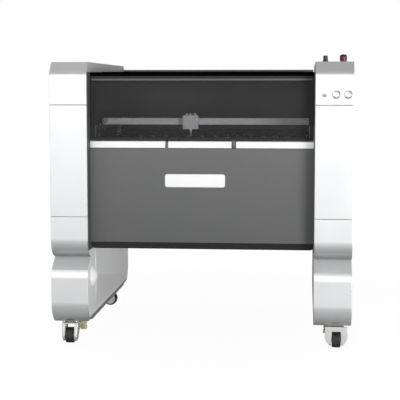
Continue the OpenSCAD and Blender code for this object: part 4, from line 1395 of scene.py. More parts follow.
@dataclass
class Controls:
    """The buttons, the pilot lamp, the emergency stop and the selector."""

    ring_radius: float = 0.015
    bore: float = 0.0113
    proud: float = 0.002
    offset: float = 0.0012

    def button(self, node: str, body: str) -> None:
        """Makes one button with a dished face.

        Args:
            node: The button's node.
            body: The body it moves with.
        """
        low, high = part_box(node)
        x, _, z = (low + high) / 2
        radius = (high.x - low.x) / 2
        depth = high.y - low.y
        profile = [(0.0, depth), (radius, depth), (radius, 0.0012), (radius - 0.0009, 0.0), (radius - 0.0022, 0.0),
            (radius * 0.55, 0.0011), (0.0, 0.0014)]
        place(lathe(node + "_cap", profile, (x, low.y, z), Axis.Y), BUTTON, body, [node], "cover_white", 50.0)

    def bezels(self) -> None:
        """Makes both rings, with their inner rim set off centre, a painted light on their upper left and a painted
        shade on their lower right.
        """
        made, middles = [], []
        face, back = (corner.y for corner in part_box("button_bezels"))
        rim = self.ring_radius - 0.003
        for node in ("button_left", "button_right"):
            low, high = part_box(node)
            x, _, z = (low + high) / 2
            middles.append((x, z))
            profile = [(self.bore, back - face), (self.bore, 0.0004), (self.bore + 0.0004, 0.0), (rim, 0.0),
                (self.ring_radius, self.proud), (self.bore + 0.002, self.proud + 0.0004), (self.bore + 0.002,
                back - face)]
            ring = lathe("ring", profile, (x, face, z), Axis.Y, 56)
            edit(ring)
            pick(ring, lambda e: all(abs(math.hypot(v.co.x - x, v.co.z - z) - rim) < 0.0002 and v.co.y < face + TINY
                for v in e.verts))
            bpy.ops.transform.translate(value=(-self.offset * 0.75, 0.0, self.offset))
            close()
            made.append(ring)
        piece = join("button_rings", made)
        dress(piece, RING_SHADE, BUTTON, RING_FACE_SHADE)
        for face in piece.data.polygons:
            if abs(face.normal.y) <= 0.3 or face.center.y >= back - 0.01:
                continue
            x, z = min(middles, key=lambda m: abs(m[0] - face.center.x))
            # Painted light and shade: front faces on the upper left take the white button finish, the rest the dark
            # ring finishes.
            if face.center.x - x - 0.7 * (face.center.z - z) < -0.003:
                face.material_index = 1
            elif face.normal.y < -0.97:
                face.material_index = 2
        place(piece, None, "root", ["button_bezels"], "ring_grey", 30.0)

    def pilot(self) -> None:
        """Makes the oval pilot lamp with a pillowed lens and a narrow rim."""
        low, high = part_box("pilot_lamp")
        middle = (low + high) / 2
        width, height = (high.x - low.x) / 2, (high.z - low.z) / 2
        depth, neck = high.y - low.y, height * 0.6
        profile = [(0.0, depth), (neck, depth), (neck, 0.0019), (height - 0.0001, 0.0019), (height, 0.0011),
            (height - 0.0006, 0.0006), (height * 0.8, 0.0007), (height * 0.75, 0.0003), (height * 0.4, 0.0), (0.0, 0.0)]
        centre = (middle.x, low.y, middle.z)
        piece = lathe("pilot_lens", profile, centre, Axis.Y)
        edit(piece)
        bpy.ops.transform.resize(value=(width / height, 1.0, 1.0), center_override=centre)
        close()
        place(piece, PILOT, "root", ["pilot_lamp"], "green_plastic", 40.0)

    def stop(self) -> None:
        """Makes the emergency stop: a hollow mushroom over a fixed sleeve."""
        low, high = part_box("estop_button")
        base_low, base_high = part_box("estop_base")
        x, y, _ = (low + high) / 2
        panel = base_high.z - 0.0015
        radius = (high.x - low.x) / 2
        top = high.z
        dome = [(0.0, top), (radius * 0.45, top - 0.0005), (radius * 0.72, top - 0.0018), (radius * 0.9, top - 0.0042),
            (radius * 0.98, top - 0.007), (radius, top - 0.01), (radius, panel + 0.006), (radius - 0.0004,
            panel + 0.0055), (radius - 0.0012, panel + 0.0055), (radius - 0.0014, panel + 0.015), (0.005,
            panel + 0.015), (0.005, low.z), (0.0, low.z)]
        place(lathe("stop_mushroom", dome, (x, y, 0.0), Axis.Z), RED, "estop", ["estop_button"], "red_plastic", 40.0)
        inside = radius - 0.0017
        sleeve = [(0.0053, base_low.z), (0.011, base_low.z), (0.011, panel), (radius + 0.0004, panel), (radius + 0.0004,
            panel + 0.0012), (inside, panel + 0.0014), (inside, panel + 0.0085), (inside - 0.001, panel + 0.0095),
            (0.0053, panel + 0.0095)]
        place(lathe("stop_sleeve", sleeve + [sleeve[0]], (x, y, 0.0), Axis.Z), RED, "root", ["estop_base"], "ring_grey",
            40.0)

    def selector(self) -> None:
        """Makes the selector: a fluted knob with a pointer over its collar."""
        low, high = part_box("selector_knob")
        base_low, base_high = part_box("selector_base")
        x, y, _ = (low + high) / 2
        radius = (high.x - low.x) / 2
        skirt = base_high.z + 0.0003
        knob = [(0.0, low.z), (0.004, low.z), (0.004, skirt), (radius, skirt), (radius, skirt + 0.003),
            (radius - 0.0003, skirt + 0.0036), (radius - 0.0004, high.z - 0.0012), (radius - 0.0012, high.z - 0.0003),
            (0.0, high.z - 0.0002)]
        piece = lathe("selector_grip", knob, (x, y, 0.0), Axis.Z)
        for sign in (-1, 1):
            scoop = rod("scoop", (x + sign * (radius + 0.0089), y, skirt + 0.0045), (x + sign * (radius + 0.0089), y,
                high.z + OVER), 0.0093, sides=40)
            carve(piece, scoop)
        pointer = block("pointer", (x - 0.0007, y - radius + 0.0022, high.z - 0.001), (x + 0.0007, y, high.z), 0.0002)
        dress(piece, GREEN)
        dress(pointer, BUTTON)
        place(join("selector_grip", [piece, pointer]), None, "selector", ["selector_knob"], "green_plastic", 40.0)
        collar = [(0.0043, base_low.z), (0.008, base_low.z), (0.008, base_high.z - 0.004), (0.01, base_high.z - 0.004),
            (0.01, base_high.z - 0.001), (0.0092, base_high.z), (0.0043, base_high.z), (0.0043, base_low.z)]
        place(lathe("selector_collar", collar, (x, y, 0.0), Axis.Z), BLACK, "root", ["selector_base"], "black_plastic",
            40.0)

    def build(self) -> None:
        """Builds all controls."""
        self.button("button_left", "left_button")
        self.button("button_right", "right_button")
        self.bezels()
        self.pilot()
        self.stop()
        self.selector()


@dataclass
class Casters:
    """Four hooded swivel casters and four levelling feet."""

    axis_x: float = 0.488
    trail: float = 0.022
    wheel_radius: float = 0.029
    fork_top: float = 0.0757
    plate_low: float = 0.08
    ground: float = 0.083
    hood_half: float = 0.03
    slot_half: float = 0.017
    cheek: float = 0.009
    taper: float = 0.022
    boss: float = 0.022
    skirt_half: float = 0.041
    skirt_top: float = 0.079
    turns: tuple[tuple[str, float], ...] = (("front_left", 180.0), ("front_right", 180.0), ("rear_left", -90.0),
        ("rear_right", 0.0))

    def fork(self) -> Thing:
        """Makes the pressed hood with its slot for the wheel and the axle bolt.

        Returns:
            The fork, around the swivel axis.
        """
        low = self.wheel_radius
        outline = [(-0.024, self.fork_top), (-0.024, self.fork_top - 0.016)]
        outline += arc((self.trail, low), self.boss, 180, 360, 18)
        outline += [(self.trail + 0.008, self.fork_top)]
        hood = prism("hood", outline, Axis.X, -self.hood_half, self.hood_half)
        foot, fold = low - self.boss, self.fork_top - self.taper
        lean = (self.hood_half - self.slot_half - self.cheek) / (fold - foot)
        for sign in (-1, 1):
            wedge = [(self.slot_half + self.cheek - 0.01 * lean, foot - OVER), (self.hood_half + 0.006 * lean,
                fold + 0.006), (self.hood_half + OVER, fold + 0.006), (self.hood_half + OVER, foot - OVER)]
            carve(hood, prism("wedge", [(sign * x, z) for x, z in wedge], Axis.Y, -0.08, 0.08))
        soften(hood, lambda e: sharp(e, 0.6), 0.0024, 3)
        carve(hood, block("slot", (-self.slot_half, -0.08, -0.01), (self.slot_half, 0.08, self.fork_top - 0.005),
            0.002))
        carve(hood, rod("hole", (0.0, 0.0, 0.05), (0.0, 0.0, 0.09), 0.00505))
        end = self.slot_half + self.cheek + 0.005
        bolt = [(0.0, -end), (0.005, -end), (0.0062, 0.001 - end), (0.0062, 0.0044 - end), (0.004, 0.0044 - end),
            (0.004, end - 0.0044), (0.0062, end - 0.0044), (0.0062, end - 0.001), (0.005, end), (0.0, end)]
        axle = lathe("axle", bolt, (0.0, self.trail, low), Axis.X, 24)
        return join("fork", [hood, axle])

    def wide_fork(self) -> Thing:
        """Makes the fork with the wider, rounded skirt over its wheel.

        Returns:
            The fork, around the swivel axis.
        """
        half, front = self.skirt_half, self.trail + self.boss
        round_half = [(half * x, half + 0.005 + (half - 0.001) * z) for x, z in arc((0.0, 0.0), 1.0, 180, 360, 24)]
        outline = [(-half, self.skirt_top), *round_half, (half, self.skirt_top)]
        skirt = prism("skirt", outline, Axis.Y, front - 0.005, front)
        soften(skirt, lambda e: sharp(e, 0.6) and all(v.co.y > front - TINY for v in e.verts), 0.0024, 3)
        carve(skirt, block("slot", (-self.slot_half, -0.08, -0.01), (self.slot_half, 0.08, 0.0615), 0.002))
        return join("wide_fork", [self.fork(), skirt])

    def wheel(self) -> Thing:
        """Makes the wheel with a grooved tread, a dished rim and a hub.

        Returns:
            The wheel, around the swivel axis.
        """
        half = [(0.00405, 0.0164), (0.0088, 0.0164), (0.0094, 0.013), (0.012, 0.0104), (0.0185, 0.0098), (0.0205,
            0.0134), (0.0226, 0.0153), (0.0262, 0.0155), (0.0282, 0.014), (0.029, 0.011), (0.029, 0.0066), (0.028,
            0.006), (0.028, 0.0048), (0.029, 0.0042)]
        profile = [(r, -h) for r, h in half] + half[::-1] + [(half[0][0], -half[0][1])]
        piece = lathe("wheel", profile, (0.0, self.trail, self.wheel_radius), Axis.X, 56)
        dress(piece, TREAD, BLACK)
        for face in piece.data.polygons:
            reach = math.hypot(face.center.y - self.trail, face.center.z - self.wheel_radius)
            face.material_index = int(reach < 0.0212)
        return piece

    def mount(self) -> Thing:
        """Makes the bolted plate, the swivel race and the kingpin.

        Returns:
            The mount, around the swivel axis.
        """
        base = prism("plate", plate(0.06, 0.06, 0.006), Axis.Z, self.plate_low, self.ground)
        soften(base, lambda e: all(v.co.z < self.plate_low + TINY for v in e.verts), 0.0006)
        bolts = scatter("bolts", rod("bolt", (0.0, 0.0, self.plate_low - 0.0035), (0.0, 0.0, self.plate_low + 0.001),
            0.0045, 0.0008, 6), [(x, y, 0.0) for x in (-0.0235, 0.0235) for y in (-0.0235, 0.0235)])
        race = [(0.0, self.plate_low), (0.019, self.plate_low), (0.019, 0.0788), (0.0172, 0.078), (0.019, 0.0772),
            (0.0188, self.fork_top + 0.0003), (0.0, self.fork_top + 0.0003)]
        pin_top = self.fork_top - 0.0053
        pin = [(0.0, 0.0667), (0.007, 0.0667), (0.0088, 0.0677), (0.0088, pin_top), (0.005, pin_top), (0.005,
            self.ground), (0.0, self.ground)]
        return join("mount", [base, bolts, lathe("race", race, ORIGIN, Axis.Z, 40), lathe("pin", pin, ORIGIN, Axis.Z,
            24)])

    def foot(self) -> Thing:
        """Makes a hexagonal foot on a threaded stem with a lock nut.

        Returns:
            The foot, around its own axis.
        """
        pad = rod("pad", (0.0, 0.0, 0.034), (0.0, 0.0, 0.05), 0.013, 0.0018, 6)
        thread = [(0.0, 0.049)]
        for i in range(9):
            thread += [(0.01, 0.05 + i * 0.0029), (0.009, 0.0512 + i * 0.0029)]
        thread += [(0.01, 0.0765), (0.01, self.ground), (0.0, self.ground)]
        nut = rod("nut", (0.0, 0.0, 0.053), (0.0, 0.0, self.ground), 0.0122, 0.001, 6)
        return join("foot", [pad, lathe("stem", thread, ORIGIN, Axis.Z, 28), nut])

    def build(self) -> None:
        """Builds the casters and the feet, and sets them at their corners."""
        fork, wheel, mount, foot = self.fork(), self.wheel(), self.mount(), self.foot()
        wide = self.wide_fork()
        mounts = []
        for word, turn in self.turns:
            low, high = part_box("wheel_" + word)
            side = 1.0 if low.x > 0 else -1.0
            spot = (side * self.axis_x, (low.y + high.y) / 2 - self.trail * math.cos(math.radians(turn)), 0.0)
            place(moved(wide if word == "front_right" else fork, "hood_" + word, spot, turn), HOOD, "caster_" + word,
                ["fork_" + word], "zinc")
            place(moved(wheel, "tyre_" + word, spot, turn), None, "roller_" + word, ["wheel_" + word], "tread")
            mounts.append(moved(mount, "mount", spot))
        place(join("caster_mounts", mounts), ZINC, "root", ["caster_plates"], "zinc")
        low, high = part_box("levelling_feet")
        xs = (low.x + 0.013, high.x - 0.013)
        reach = 0.013 * math.cos(math.radians(30))
        ys = (low.y + reach, high.y - reach)
        feet = [moved(foot, "foot", (x, y, 0.0), 30.0) for x in xs for y in ys]
        place(join("feet", feet), BRASS, "root", ["levelling_feet"], "brass")
        for pattern in (fork, wide, wheel, mount, foot):
            drop(pattern)


@dataclass
class Gantry:
    """The cross beam with its carriages, drive, mirror, head and nozzle."""

    wall: float = 0.003
    slot_open: float = 0.005
    head_edge: float = 0.0016

    def beam(self) -> None:
        """Makes the extruded beam with a slot along its front and top."""
        low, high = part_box("x_beam")
        w, s = self.wall, self.slot_open / 2
        _, mid_y, mid_z = (low + high) / 2
        outline = [(low.y, low.z), (high.y, low.z), (high.y, high.z), (mid_y + s, high.z), (mid_y + s, high.z - 0.0015),
            (mid_y - s, high.z - 0.0015), (mid_y - s, high.z), (low.y, high.z), (low.y, mid_z + s), (low.y + 0.0015,
            mid_z + s), (low.y + 0.0015, mid_z - s), (low.y, mid_z - s)]
        piece = prism("beam_extrusion", outline, Axis.X, low.x, high.x)
        soften(piece, sharp, 0.0005)
        carve(piece, block("bore", (low.x - OVER, low.y + w, low.z + w), (high.x + OVER, high.y - w, high.z - w)))
        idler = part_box("x_idler_pulley")
        x = (idler[0].x + idler[1].x) / 2
        carve(piece, rod("bore", (x, high.y - 0.004, mid_z), (x, high.y + OVER, mid_z), 0.00255))
        place(piece, BEAM, "gantry", ["x_beam"], "alloy")

    def carriages(self) -> None:
        """Makes both carriages with their plates, belt clamps and bolts."""
        low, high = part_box("y_carriages")
        plate_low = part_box("y_rails")[1].z + 0.0003
        made = []
        bolts = []
        for sign in (-1, 1):
            made.append(block("plate", (sign * (high.x - 0.0255), low.y, plate_low), (sign * high.x, high.y, high.z),
                0.0008))
            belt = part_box("y_belts")[1].x
            made.append(block("clamp", (sign * (belt - 0.008), low.y + 0.02, low.z), (sign * belt, low.y + 0.05,
                plate_low + 0.001), 0.0006))
            bolts += [(sign * (high.x - 0.0065), y, high.z) for y in (low.y + 0.006, high.y - 0.006)]
        place(join("carriage_plates", made), INNER, "gantry", ["y_carriages"], "steel")
        place(screws("carriage_bolts", bolts, Axis.Z, 0.0032), ZINC, "gantry")

    def motor(self) -> None:
        """Makes the small motor with its bracket."""
        low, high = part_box("x_motor")
        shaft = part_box("x_drive_pulley")
        x, z = (shaft[0].x + shaft[1].x) / 2, (low.z + high.z) / 2
        side = high.z - low.z
        front = high.y - 0.04
        piece = motor("cross_motor", Axis.Y, (x, z), side, front, high.y)
        carve(piece, rod("bore", (x, front - OVER, z), (x, front + 0.012, z), 0.00255))
        place(piece, None, "gantry", ["x_motor"], "black_plastic")
        beam_low, beam_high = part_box("x_beam")
        place(block("motor_bracket", (high.x - 0.003, beam_high.y, beam_low.z + 0.002), (high.x, front,
            beam_high.z - 0.002), 0.0006), STEEL_Y, "gantry", (), "steel")

    def pulley(self, node: str, body: str) -> None:
        """Makes a flanged toothed pulley.

        Args:
            node: The pulley's node.
            body: The body it turns with.
        """
        low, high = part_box(node)
        belt_low, belt_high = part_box("x_belt")
        x, _, z = (low + high) / 2
        a, b = belt_low.y - 0.0005, belt_high.y + 0.0005
        profile = [(0.0, low.y), (0.0025, low.y), (0.0025, a), (0.0056, a), (0.006, a + 0.0003), (0.006, b - 0.0003),
            (0.0056, b), (0.0025, b), (0.0025, high.y), (0.0, high.y)]
        place(lathe(node + "_turned", profile, (x, 0.0, z), Axis.Y, 36), ALLOY_Y, body, [node], "alloy")

    def head(self) -> None:
        """Makes the laser head: its body, face plate, mirror knobs and arm."""
        low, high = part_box("laser_head")
        beam_low, beam_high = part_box("x_beam")
        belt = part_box("x_belt")
        back = beam_low.y - 0.0003
        x, y = (low.x + high.x) / 2, (low.y + back) / 2
        body = block("body", low, (high.x, back, high.z), self.head_edge, 3)
        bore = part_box("focus_tube")[1]
        radius = (bore.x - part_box("focus_tube")[0].x) / 2 + 0.00005
        carve(body, rod("bore", (x, y, low.z - OVER), (x, y, bore.z + 0.018), radius))
        carve(body, rod("bore", (low.x - OVER, y, bore.z + 0.01), (x, y, bore.z + 0.01), 0.006))
        arm = block("arm", (low.x + 0.008, back, beam_high.z + 0.0003), (high.x - 0.008, belt[1].y, high.z), 0.001)
        clamp = block("clamp", (low.x + 0.008, belt[0].y, belt[1].z + 0.0003), (high.x - 0.008, belt[1].y, high.z),
            0.0008)
        face = block("face", (low.x + 0.005, low.y - 0.0018, low.z + 0.006), (high.x - 0.005, low.y + 0.001,
            high.z - 0.006), 0.0012)
        place(join("head_body", [body, arm, clamp, face]), HEAD, "head", ["laser_head"], "head_grey")
        spots = [(px, low.y - 0.0018, pz) for px in (low.x + 0.01, high.x - 0.01) for pz in (low.z + 0.011,
            high.z - 0.011)]
        place(screws("head_screws", spots, Axis.Y, -0.0026), ZINC, "head")
        knob = [(0.0, 0.0), (0.004, 0.0), (0.0044, 0.0012), (0.0044, 0.006), (0.0038, 0.007), (0.0, 0.0072)]
        place(scatter("mirror_knobs", lathe("knob", knob, ORIGIN, Axis.Z, 20), [(low.x + 0.013, y + 0.004, high.z),
            (high.x - 0.013, y + 0.004, high.z), (x, y - 0.005, high.z)]), BRASS, "head")

    def focus(self) -> None:
        """Makes the focus tube with a collar and a tapered nozzle."""
        low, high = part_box("focus_tube")
        head_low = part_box("laser_head")[0].z
        x, y, _ = (low + high) / 2
        radius = (high.x - low.x) / 2
        shoulder = head_low - 0.004
        profile = [(0.0, low.z), (0.0022, low.z), (0.0028, low.z + 0.001), (0.0045, shoulder - 0.004), (0.006,
            shoulder - 0.0035), (0.006, shoulder - 0.001), (radius, shoulder), (radius, high.z), (0.0, high.z)]
        place(lathe("nozzle_tube", profile, (x, y, 0.0), Axis.Z, 40), NOZZLE, "focus", ["focus_tube"], "alloy")

    def mirror(self, name: str, node: str, body: str, turn: float) -> None:
        """Makes a round mirror in its ring on a bracket.

        Args:
            name: The piece's name.
            node: The node it stands for.
            body: The body it moves with.
            turn: The angle of the mirror's axis from X, in degrees.
        """
        low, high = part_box(node)
        tube_low, tube_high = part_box("laser_tube")
        fixed = body == "root"
        # The disc stands half a right angle across, so its reach is less than its size.
        reach = (0.011 + 0.0025) * math.sqrt(0.5)
        x = high.x - reach
        y = (tube_low.y + tube_high.y) / 2 if fixed else low.y + reach
        z = (tube_low.z + tube_high.z) / 2
        ring = [(0.0, -0.0025), (0.0105, -0.0025), (0.011, -0.002), (0.011, 0.002), (0.0105, 0.0025), (0.0088, 0.0025),
            (0.0086, 0.0012), (0.0, 0.0012)]
        disc = lathe("disc", ring, ORIGIN, Axis.X, 36)
        parts = [moved(disc, "disc", (x, y, z), turn)]
        drop(disc)
        if fixed:
            arm = block("arm", (low.x, y - 0.003, low.z), (x - 0.002, y + 0.009, high.z), 0.0012)
        else:
            beam_low, beam_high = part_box("x_beam")
            arm = block("arm", (low.x, y - 0.004, low.z), (x - 0.003, beam_low.y, beam_high.z), 0.0012)
        place(join(name, [*parts, arm]), ALLOY_Y, body, [node], "alloy")

    def build(self) -> None:
        """Builds the gantry and all that rides on it."""
        self.beam()
        self.carriages()
        self.motor()
        self.pulley("x_drive_pulley", "cross_drive")
        self.pulley("x_idler_pulley", "cross_idler")
        self.head()
        self.focus()
        self.mirror("beam_mirror_mount", "beam_mirror", "gantry", -45.0)
        self.mirror("tube_mirror_mount", "tube_mirror", "root", 45.0)


@dataclass
class LongDrive:
    """The rails, belts, pulleys, bearings and motor that move the gantry."""

    pulley_half: float = 0.005
    pulley_radius: float = 0.01
    shaft: float = 0.004
    bearing_width: float = 0.016

    def rails(self) -> None:
        """Makes both rails with a ball groove on each side and sunk screw holes."""
        low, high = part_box("y_rails")
        width = 0.012
        x0, x1, z0, z1 = high.x - width, high.x, low.z, high.z
        mid, dip = (z0 + z1) / 2 + 0.001, 0.0011
        outline = [(x0, z0), (x1, z0), (x1, mid - 0.0022), (x1 - dip, mid - 0.0009), (x1 - dip, mid + 0.0009),
            (x1, mid + 0.0022), (x1, z1 - 0.0006), (x1 - 0.0006, z1), (x0 + 0.0006, z1), (x0, z1 - 0.0006),
            (x0, mid + 0.0022), (x0 + dip, mid + 0.0009), (x0 + dip, mid - 0.0009), (x0, mid - 0.0022)]
        rail = prism("rail", outline, Axis.Y, low.y, high.y)
        holes = scatter("holes", rod("hole", (0.0, 0.0, -0.0045), (0.0, 0.0, 0.01), 0.0033, sides=20), [((x0 + x1) / 2,
            low.y + 0.02 + i * 0.0647, z1) for i in range(9)])
        carve(rail, holes)
        twin = moved(rail, "rail", (-x0 - x1, 0.0, 0.0))
        place(join("long_rails", [rail, twin]), STEEL_Y, "root", ["y_rails"], "steel")

    def pulley_run(self, middle: float) -> list[Flat]:
        """Gives the radius and place of each corner of one toothed pulley."""
        h, r = self.pulley_half, self.pulley_radius
        return [(self.shaft, middle - h), (r, middle - h), (r, middle - h + 0.0009), (r - 0.0008, middle - h + 0.0012),
            (r - 0.0008, middle + h - 0.0012), (r, middle + h - 0.0009), (r, middle + h), (self.shaft, middle + h)]

    def shafts(self) -> None:
        """Makes the long shaft and the two idler stubs with their pulleys."""
        low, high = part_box("y_drive_shaft")
        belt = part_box("y_belts")[1].x - 0.004
        _, y, z = (low + high) / 2
        profile = [(0.0, low.x), (self.shaft - 0.0005, low.x), (self.shaft, low.x + 0.0005)]
        profile += self.pulley_run(-belt) + self.pulley_run(belt)
        profile += [(self.shaft, high.x - 0.0005), (self.shaft - 0.0005, high.x), (0.0, high.x)]
        place(lathe("shaft_and_pulleys", profile, (0.0, y, z), Axis.X, 40), BLUED, "long_shaft", ["y_drive_shaft"],
            "steel")
        low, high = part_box("y_idler_pulleys")
        _, y, z = (low + high) / 2
        start = belt - self.pulley_half - 0.002
        stub = [(0.0, start), (self.shaft, start), *self.pulley_run(belt), (self.shaft, high.x - 0.0004),
            (self.shaft - 0.0004, high.x), (0.0, high.x)]
        pair = [lathe("stub", [(r, sign * h) for r, h in stub], (0.0, y, z), Axis.X, 40) for sign in (-1, 1)]
        place(join("idler_stubs", pair), STEEL_X, "long_idlers", ["y_idler_pulleys"], "steel")

    def belts(self) -> None:
        """Makes both long belts and the cross belt as slender closed loops."""
        low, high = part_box("y_belts")
        pair = []
        for sign in (-1, 1):
            xs = sorted((sign * (high.x - 0.008), sign * high.x))
            pair.append(self.loop((low.y, high.y), (low.z, high.z), Axis.X, *xs))
        place(join("long_belts", pair), RUBBER, "root", ["y_belts"], "rubber")
        low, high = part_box("x_belt")
        cross = self.loop((low.x, high.x), (low.z, high.z), Axis.Y, low.y, high.y)
        cross.name = "cross_belt"
        place(cross, RUBBER, "gantry", ["x_belt"], "rubber")

    def loop(self, long: Flat, tall: Flat, axis: Axis, start: float, end: float) -> Thing:
        """Makes one belt loop with rounded edges.

        Args:
            long: The ends of the loop.
            tall: Its lowest and highest place.
            axis: The direction across the belt.
            start: One edge of the belt.
            end: The other edge.

        Returns:
            The loop.
        """
        width, height = long[1] - long[0], tall[1] - tall[0]
        middle = ((long[0] + long[1]) / 2, (tall[0] + tall[1]) / 2)
        belt = 0.0017
        belt_loop = prism("loop", plate(width, height, height / 2 - 0.0001, middle), axis, start, end)
        inner = plate(width - 2 * belt, height - 2 * belt, height / 2 - belt - 0.0001, middle)
        carve(belt_loop, prism("inside", inner, axis, start - OVER, end + OVER))
        return belt_loop

    def bearings(self) -> None:
        """Makes the four bearing blocks with rounded heads, rings and bolts."""
        low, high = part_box("shaft_bearings")
        made, bolts = [], []
        for node, top in (("y_idler_pulleys", high.z), ("y_drive_shaft", None)):
            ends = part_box(node)
            y, z = (ends[0].y + ends[1].y) / 2, (ends[0].z + ends[1].z) / 2
            roof = z + 0.014 if top is None else top
            half = 0.011
            outline = rounded([(y - half, low.z), (y + half, low.z), (y + half, roof), (y - half, roof)], [0.001, 0.001,
                0.007, 0.007])
            for sign in (-1, 1):
                xs = sorted((sign * (high.x - self.bearing_width), sign * high.x))
                head = prism("bearing", outline, Axis.X, *xs)
                carve(head, rod("bore", (xs[0] - OVER, y, z), (xs[1] + OVER, y, z), 0.00405))
                rim = sign * (high.x - self.bearing_width)
                ring = [(0.0042, 0.001), (0.0042, -0.0004), (0.0056, -0.0004), (0.0058, 0.0002), (0.0072, 0.0002),
                    (0.0074, -0.0005), (0.0084, -0.0005), (0.0084, 0.001), (0.0042, 0.001)]
                made += [head, lathe("ring", [(r, sign * h) for r, h in ring], (rim, y, z), Axis.X, 32)]
                bolts += [(sign * (high.x - self.bearing_width / 2), y, roof)]
        place(join("bearing_blocks", made), ALLOY_Y, "root", ["shaft_bearings"], "alloy")
        place(screws("bearing_bolts", bolts, Axis.Z, 0.0034), ZINC)

    def drive_motor(self) -> None:
        """Makes the large motor beside the right end of the shaft."""
        low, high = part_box("y_motor")
        _, y, z = (low + high) / 2
        piece = motor("long_motor", Axis.X, (y, z), high.z - low.z, low.x, high.x)
        carve(piece, rod("bore", (low.x - OVER, y, z), (low.x + 0.012, y, z), 0.00405))
        place(piece, None, "root", ["y_motor"], "black_plastic")

    def build(self) -> None:
        """Builds the long drive."""
        self.rails()
        self.shafts()
        self.belts()
        self.bearings()
        self.drive_motor()


@dataclass
class Bed:
    """The work bed: a tube frame on lugs with knife slats."""

    half: float = 0.385
    tube: float = 0.02
    slats: int = 15
    tab: float = 0.01
    tab_height: float = 0.008
    pitch: float = 0.05

    def build(self) -> None:
        """Builds the frame, the lugs, the screws and the slats."""
        low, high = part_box("bed_frame")
        frame_ring = block("bed_ring", (-self.half, low.y, low.z), (self.half, high.y, high.z), 0.0015, 3)
        carve(frame_ring, block("hole", (self.tube - self.half, low.y + self.tube, low.z - OVER),
            (self.half - self.tube, high.y - self.tube, high.z + OVER), 0.0))
        parts, bolts = [frame_ring], []
        for sign in (-1, 1):
            for front in (low.y + 0.04, high.y - 0.08):
                parts.append(block("lug", (sign * (self.half - 0.001), front, low.z), (sign * high.x, front + 0.04,
                    low.z + 0.012), 0.001))
                bolts += [(sign * (self.half + 0.009), front + 0.01 + i * 0.02, low.z + 0.012) for i in range(2)]
        place(join("bed_tubes", parts), INNER, "root", ["bed_frame"], "alloy")
        place(screws("bed_bolts", bolts, Axis.Z, 0.0036), ZINC)
        low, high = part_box("bed_slats")
        base, top = low.z, high.z
        knife = [(-0.001, base), (0.001, base), (0.001, top - 0.004), (0.00035, top), (-0.00035, top), (-0.001,
            top - 0.004)]
        blade = prism("blade", knife, Axis.Y, low.y, high.y)
        spots = [((i - (self.slats - 1) / 2) * self.pitch, 0.0, 0.0) for i in range(self.slats)]
        place(scatter("knife_slats", blade, spots), SLAT, "root", ["bed_slats"], "steel")
        tab = block("tab", (-self.tab, high.y - 0.0015, top - self.tab_height), (self.tab, high.y, top - 0.0005),
            0.0004)
        place(scatter("slat_tabs", tab, spots[1:-1]), TAB)


@dataclass
class LaserBay:
    """The laser tube and its clamps at the rear of the chamber."""

    tube_radius: float = 0.025
    neck: float = 0.03
    foot_front: float = 0.21
    foot_back: float = 0.3
    clamp_width: float = 0.02

    def tube(self) -> None:
        """Makes the glass tube, its discharge tube and its end fittings."""
        low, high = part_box("laser_tube")
        _, y, z = (low + high) / 2
        r, end, body = self.tube_radius, high.x, high.x - self.neck
        half = [(0.0, end), (0.0115, end), (0.0125, end - 0.001), (0.0125, body + 0.006), (0.0165, body + 0.0015),
            (0.0225, body), (0.0244, body - 0.0015), (r, body - 0.005)]
        profile = [(rad, -h) for rad, h in half] + half[::-1]
        place(lathe("glass_tube", profile, (0.0, y, z), Axis.X), TUBE_GLASS, "root", ["laser_tube"], "tube_glass")
        place(rod("discharge_tube", (-body + 0.02, y, z), (body - 0.02, y, z), 0.007, 0.001, 28), TUBE_GLASS, "root",
            (), "tube_glass")
        caps = []
        for sign in (-1, 1):
            cap = [(0.0, 0.0), (0.01, 0.0), (0.0108, -0.0008), (0.0108, -0.006), (0.0085, -0.0065), (0.0085, -0.012),
                (0.0, -0.012)]
            caps.append(lathe("cap", [(rad, sign * (end - 0.0005 + h)) for rad, h in cap], (0.0, y, z), Axis.X, 32))
        place(join("tube_ends", caps), BRASS, "root", (), "steel")

    def clamps(self) -> None:
        """Makes both clamps: a ring on a foot, with its bolts."""
        low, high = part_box("tube_clamps")
        tube_low, tube_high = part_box("laser_tube")
        y, z = (tube_low.y + tube_high.y) / 2, (tube_low.z + tube_high.z) / 2
        outer = high.z - z
        made, bolts = [], []
        for start in (low.x, high.x - self.clamp_width):
            end = start + self.clamp_width
            ring = [(self.tube_radius + 0.0001, start), (outer - 0.0008, start), (outer, start + 0.0008), (outer,
                end - 0.0008), (outer - 0.0008, end), (self.tube_radius + 0.0001, end), (self.tube_radius + 0.0001,
                start)]
            made.append(lathe("ring", ring, (0.0, y, z), Axis.X))
            made.append(block("foot", (start, self.foot_front, z - 0.012), (end, self.foot_back, z + 0.012), 0.0012))
            bolts += [((start + end) / 2, self.foot_front + 0.012 + i * 0.022, z + 0.012) for i in range(2)]
        place(join("split_clamps", made), ALLOY_X, "root", ["tube_clamps"], "alloy")
        place(screws("clamp_bolts", bolts, Axis.Z, 0.004), ZINC)

    def build(self) -> None:
        """Builds the tube and its clamps."""
        self.tube()
        self.clamps()


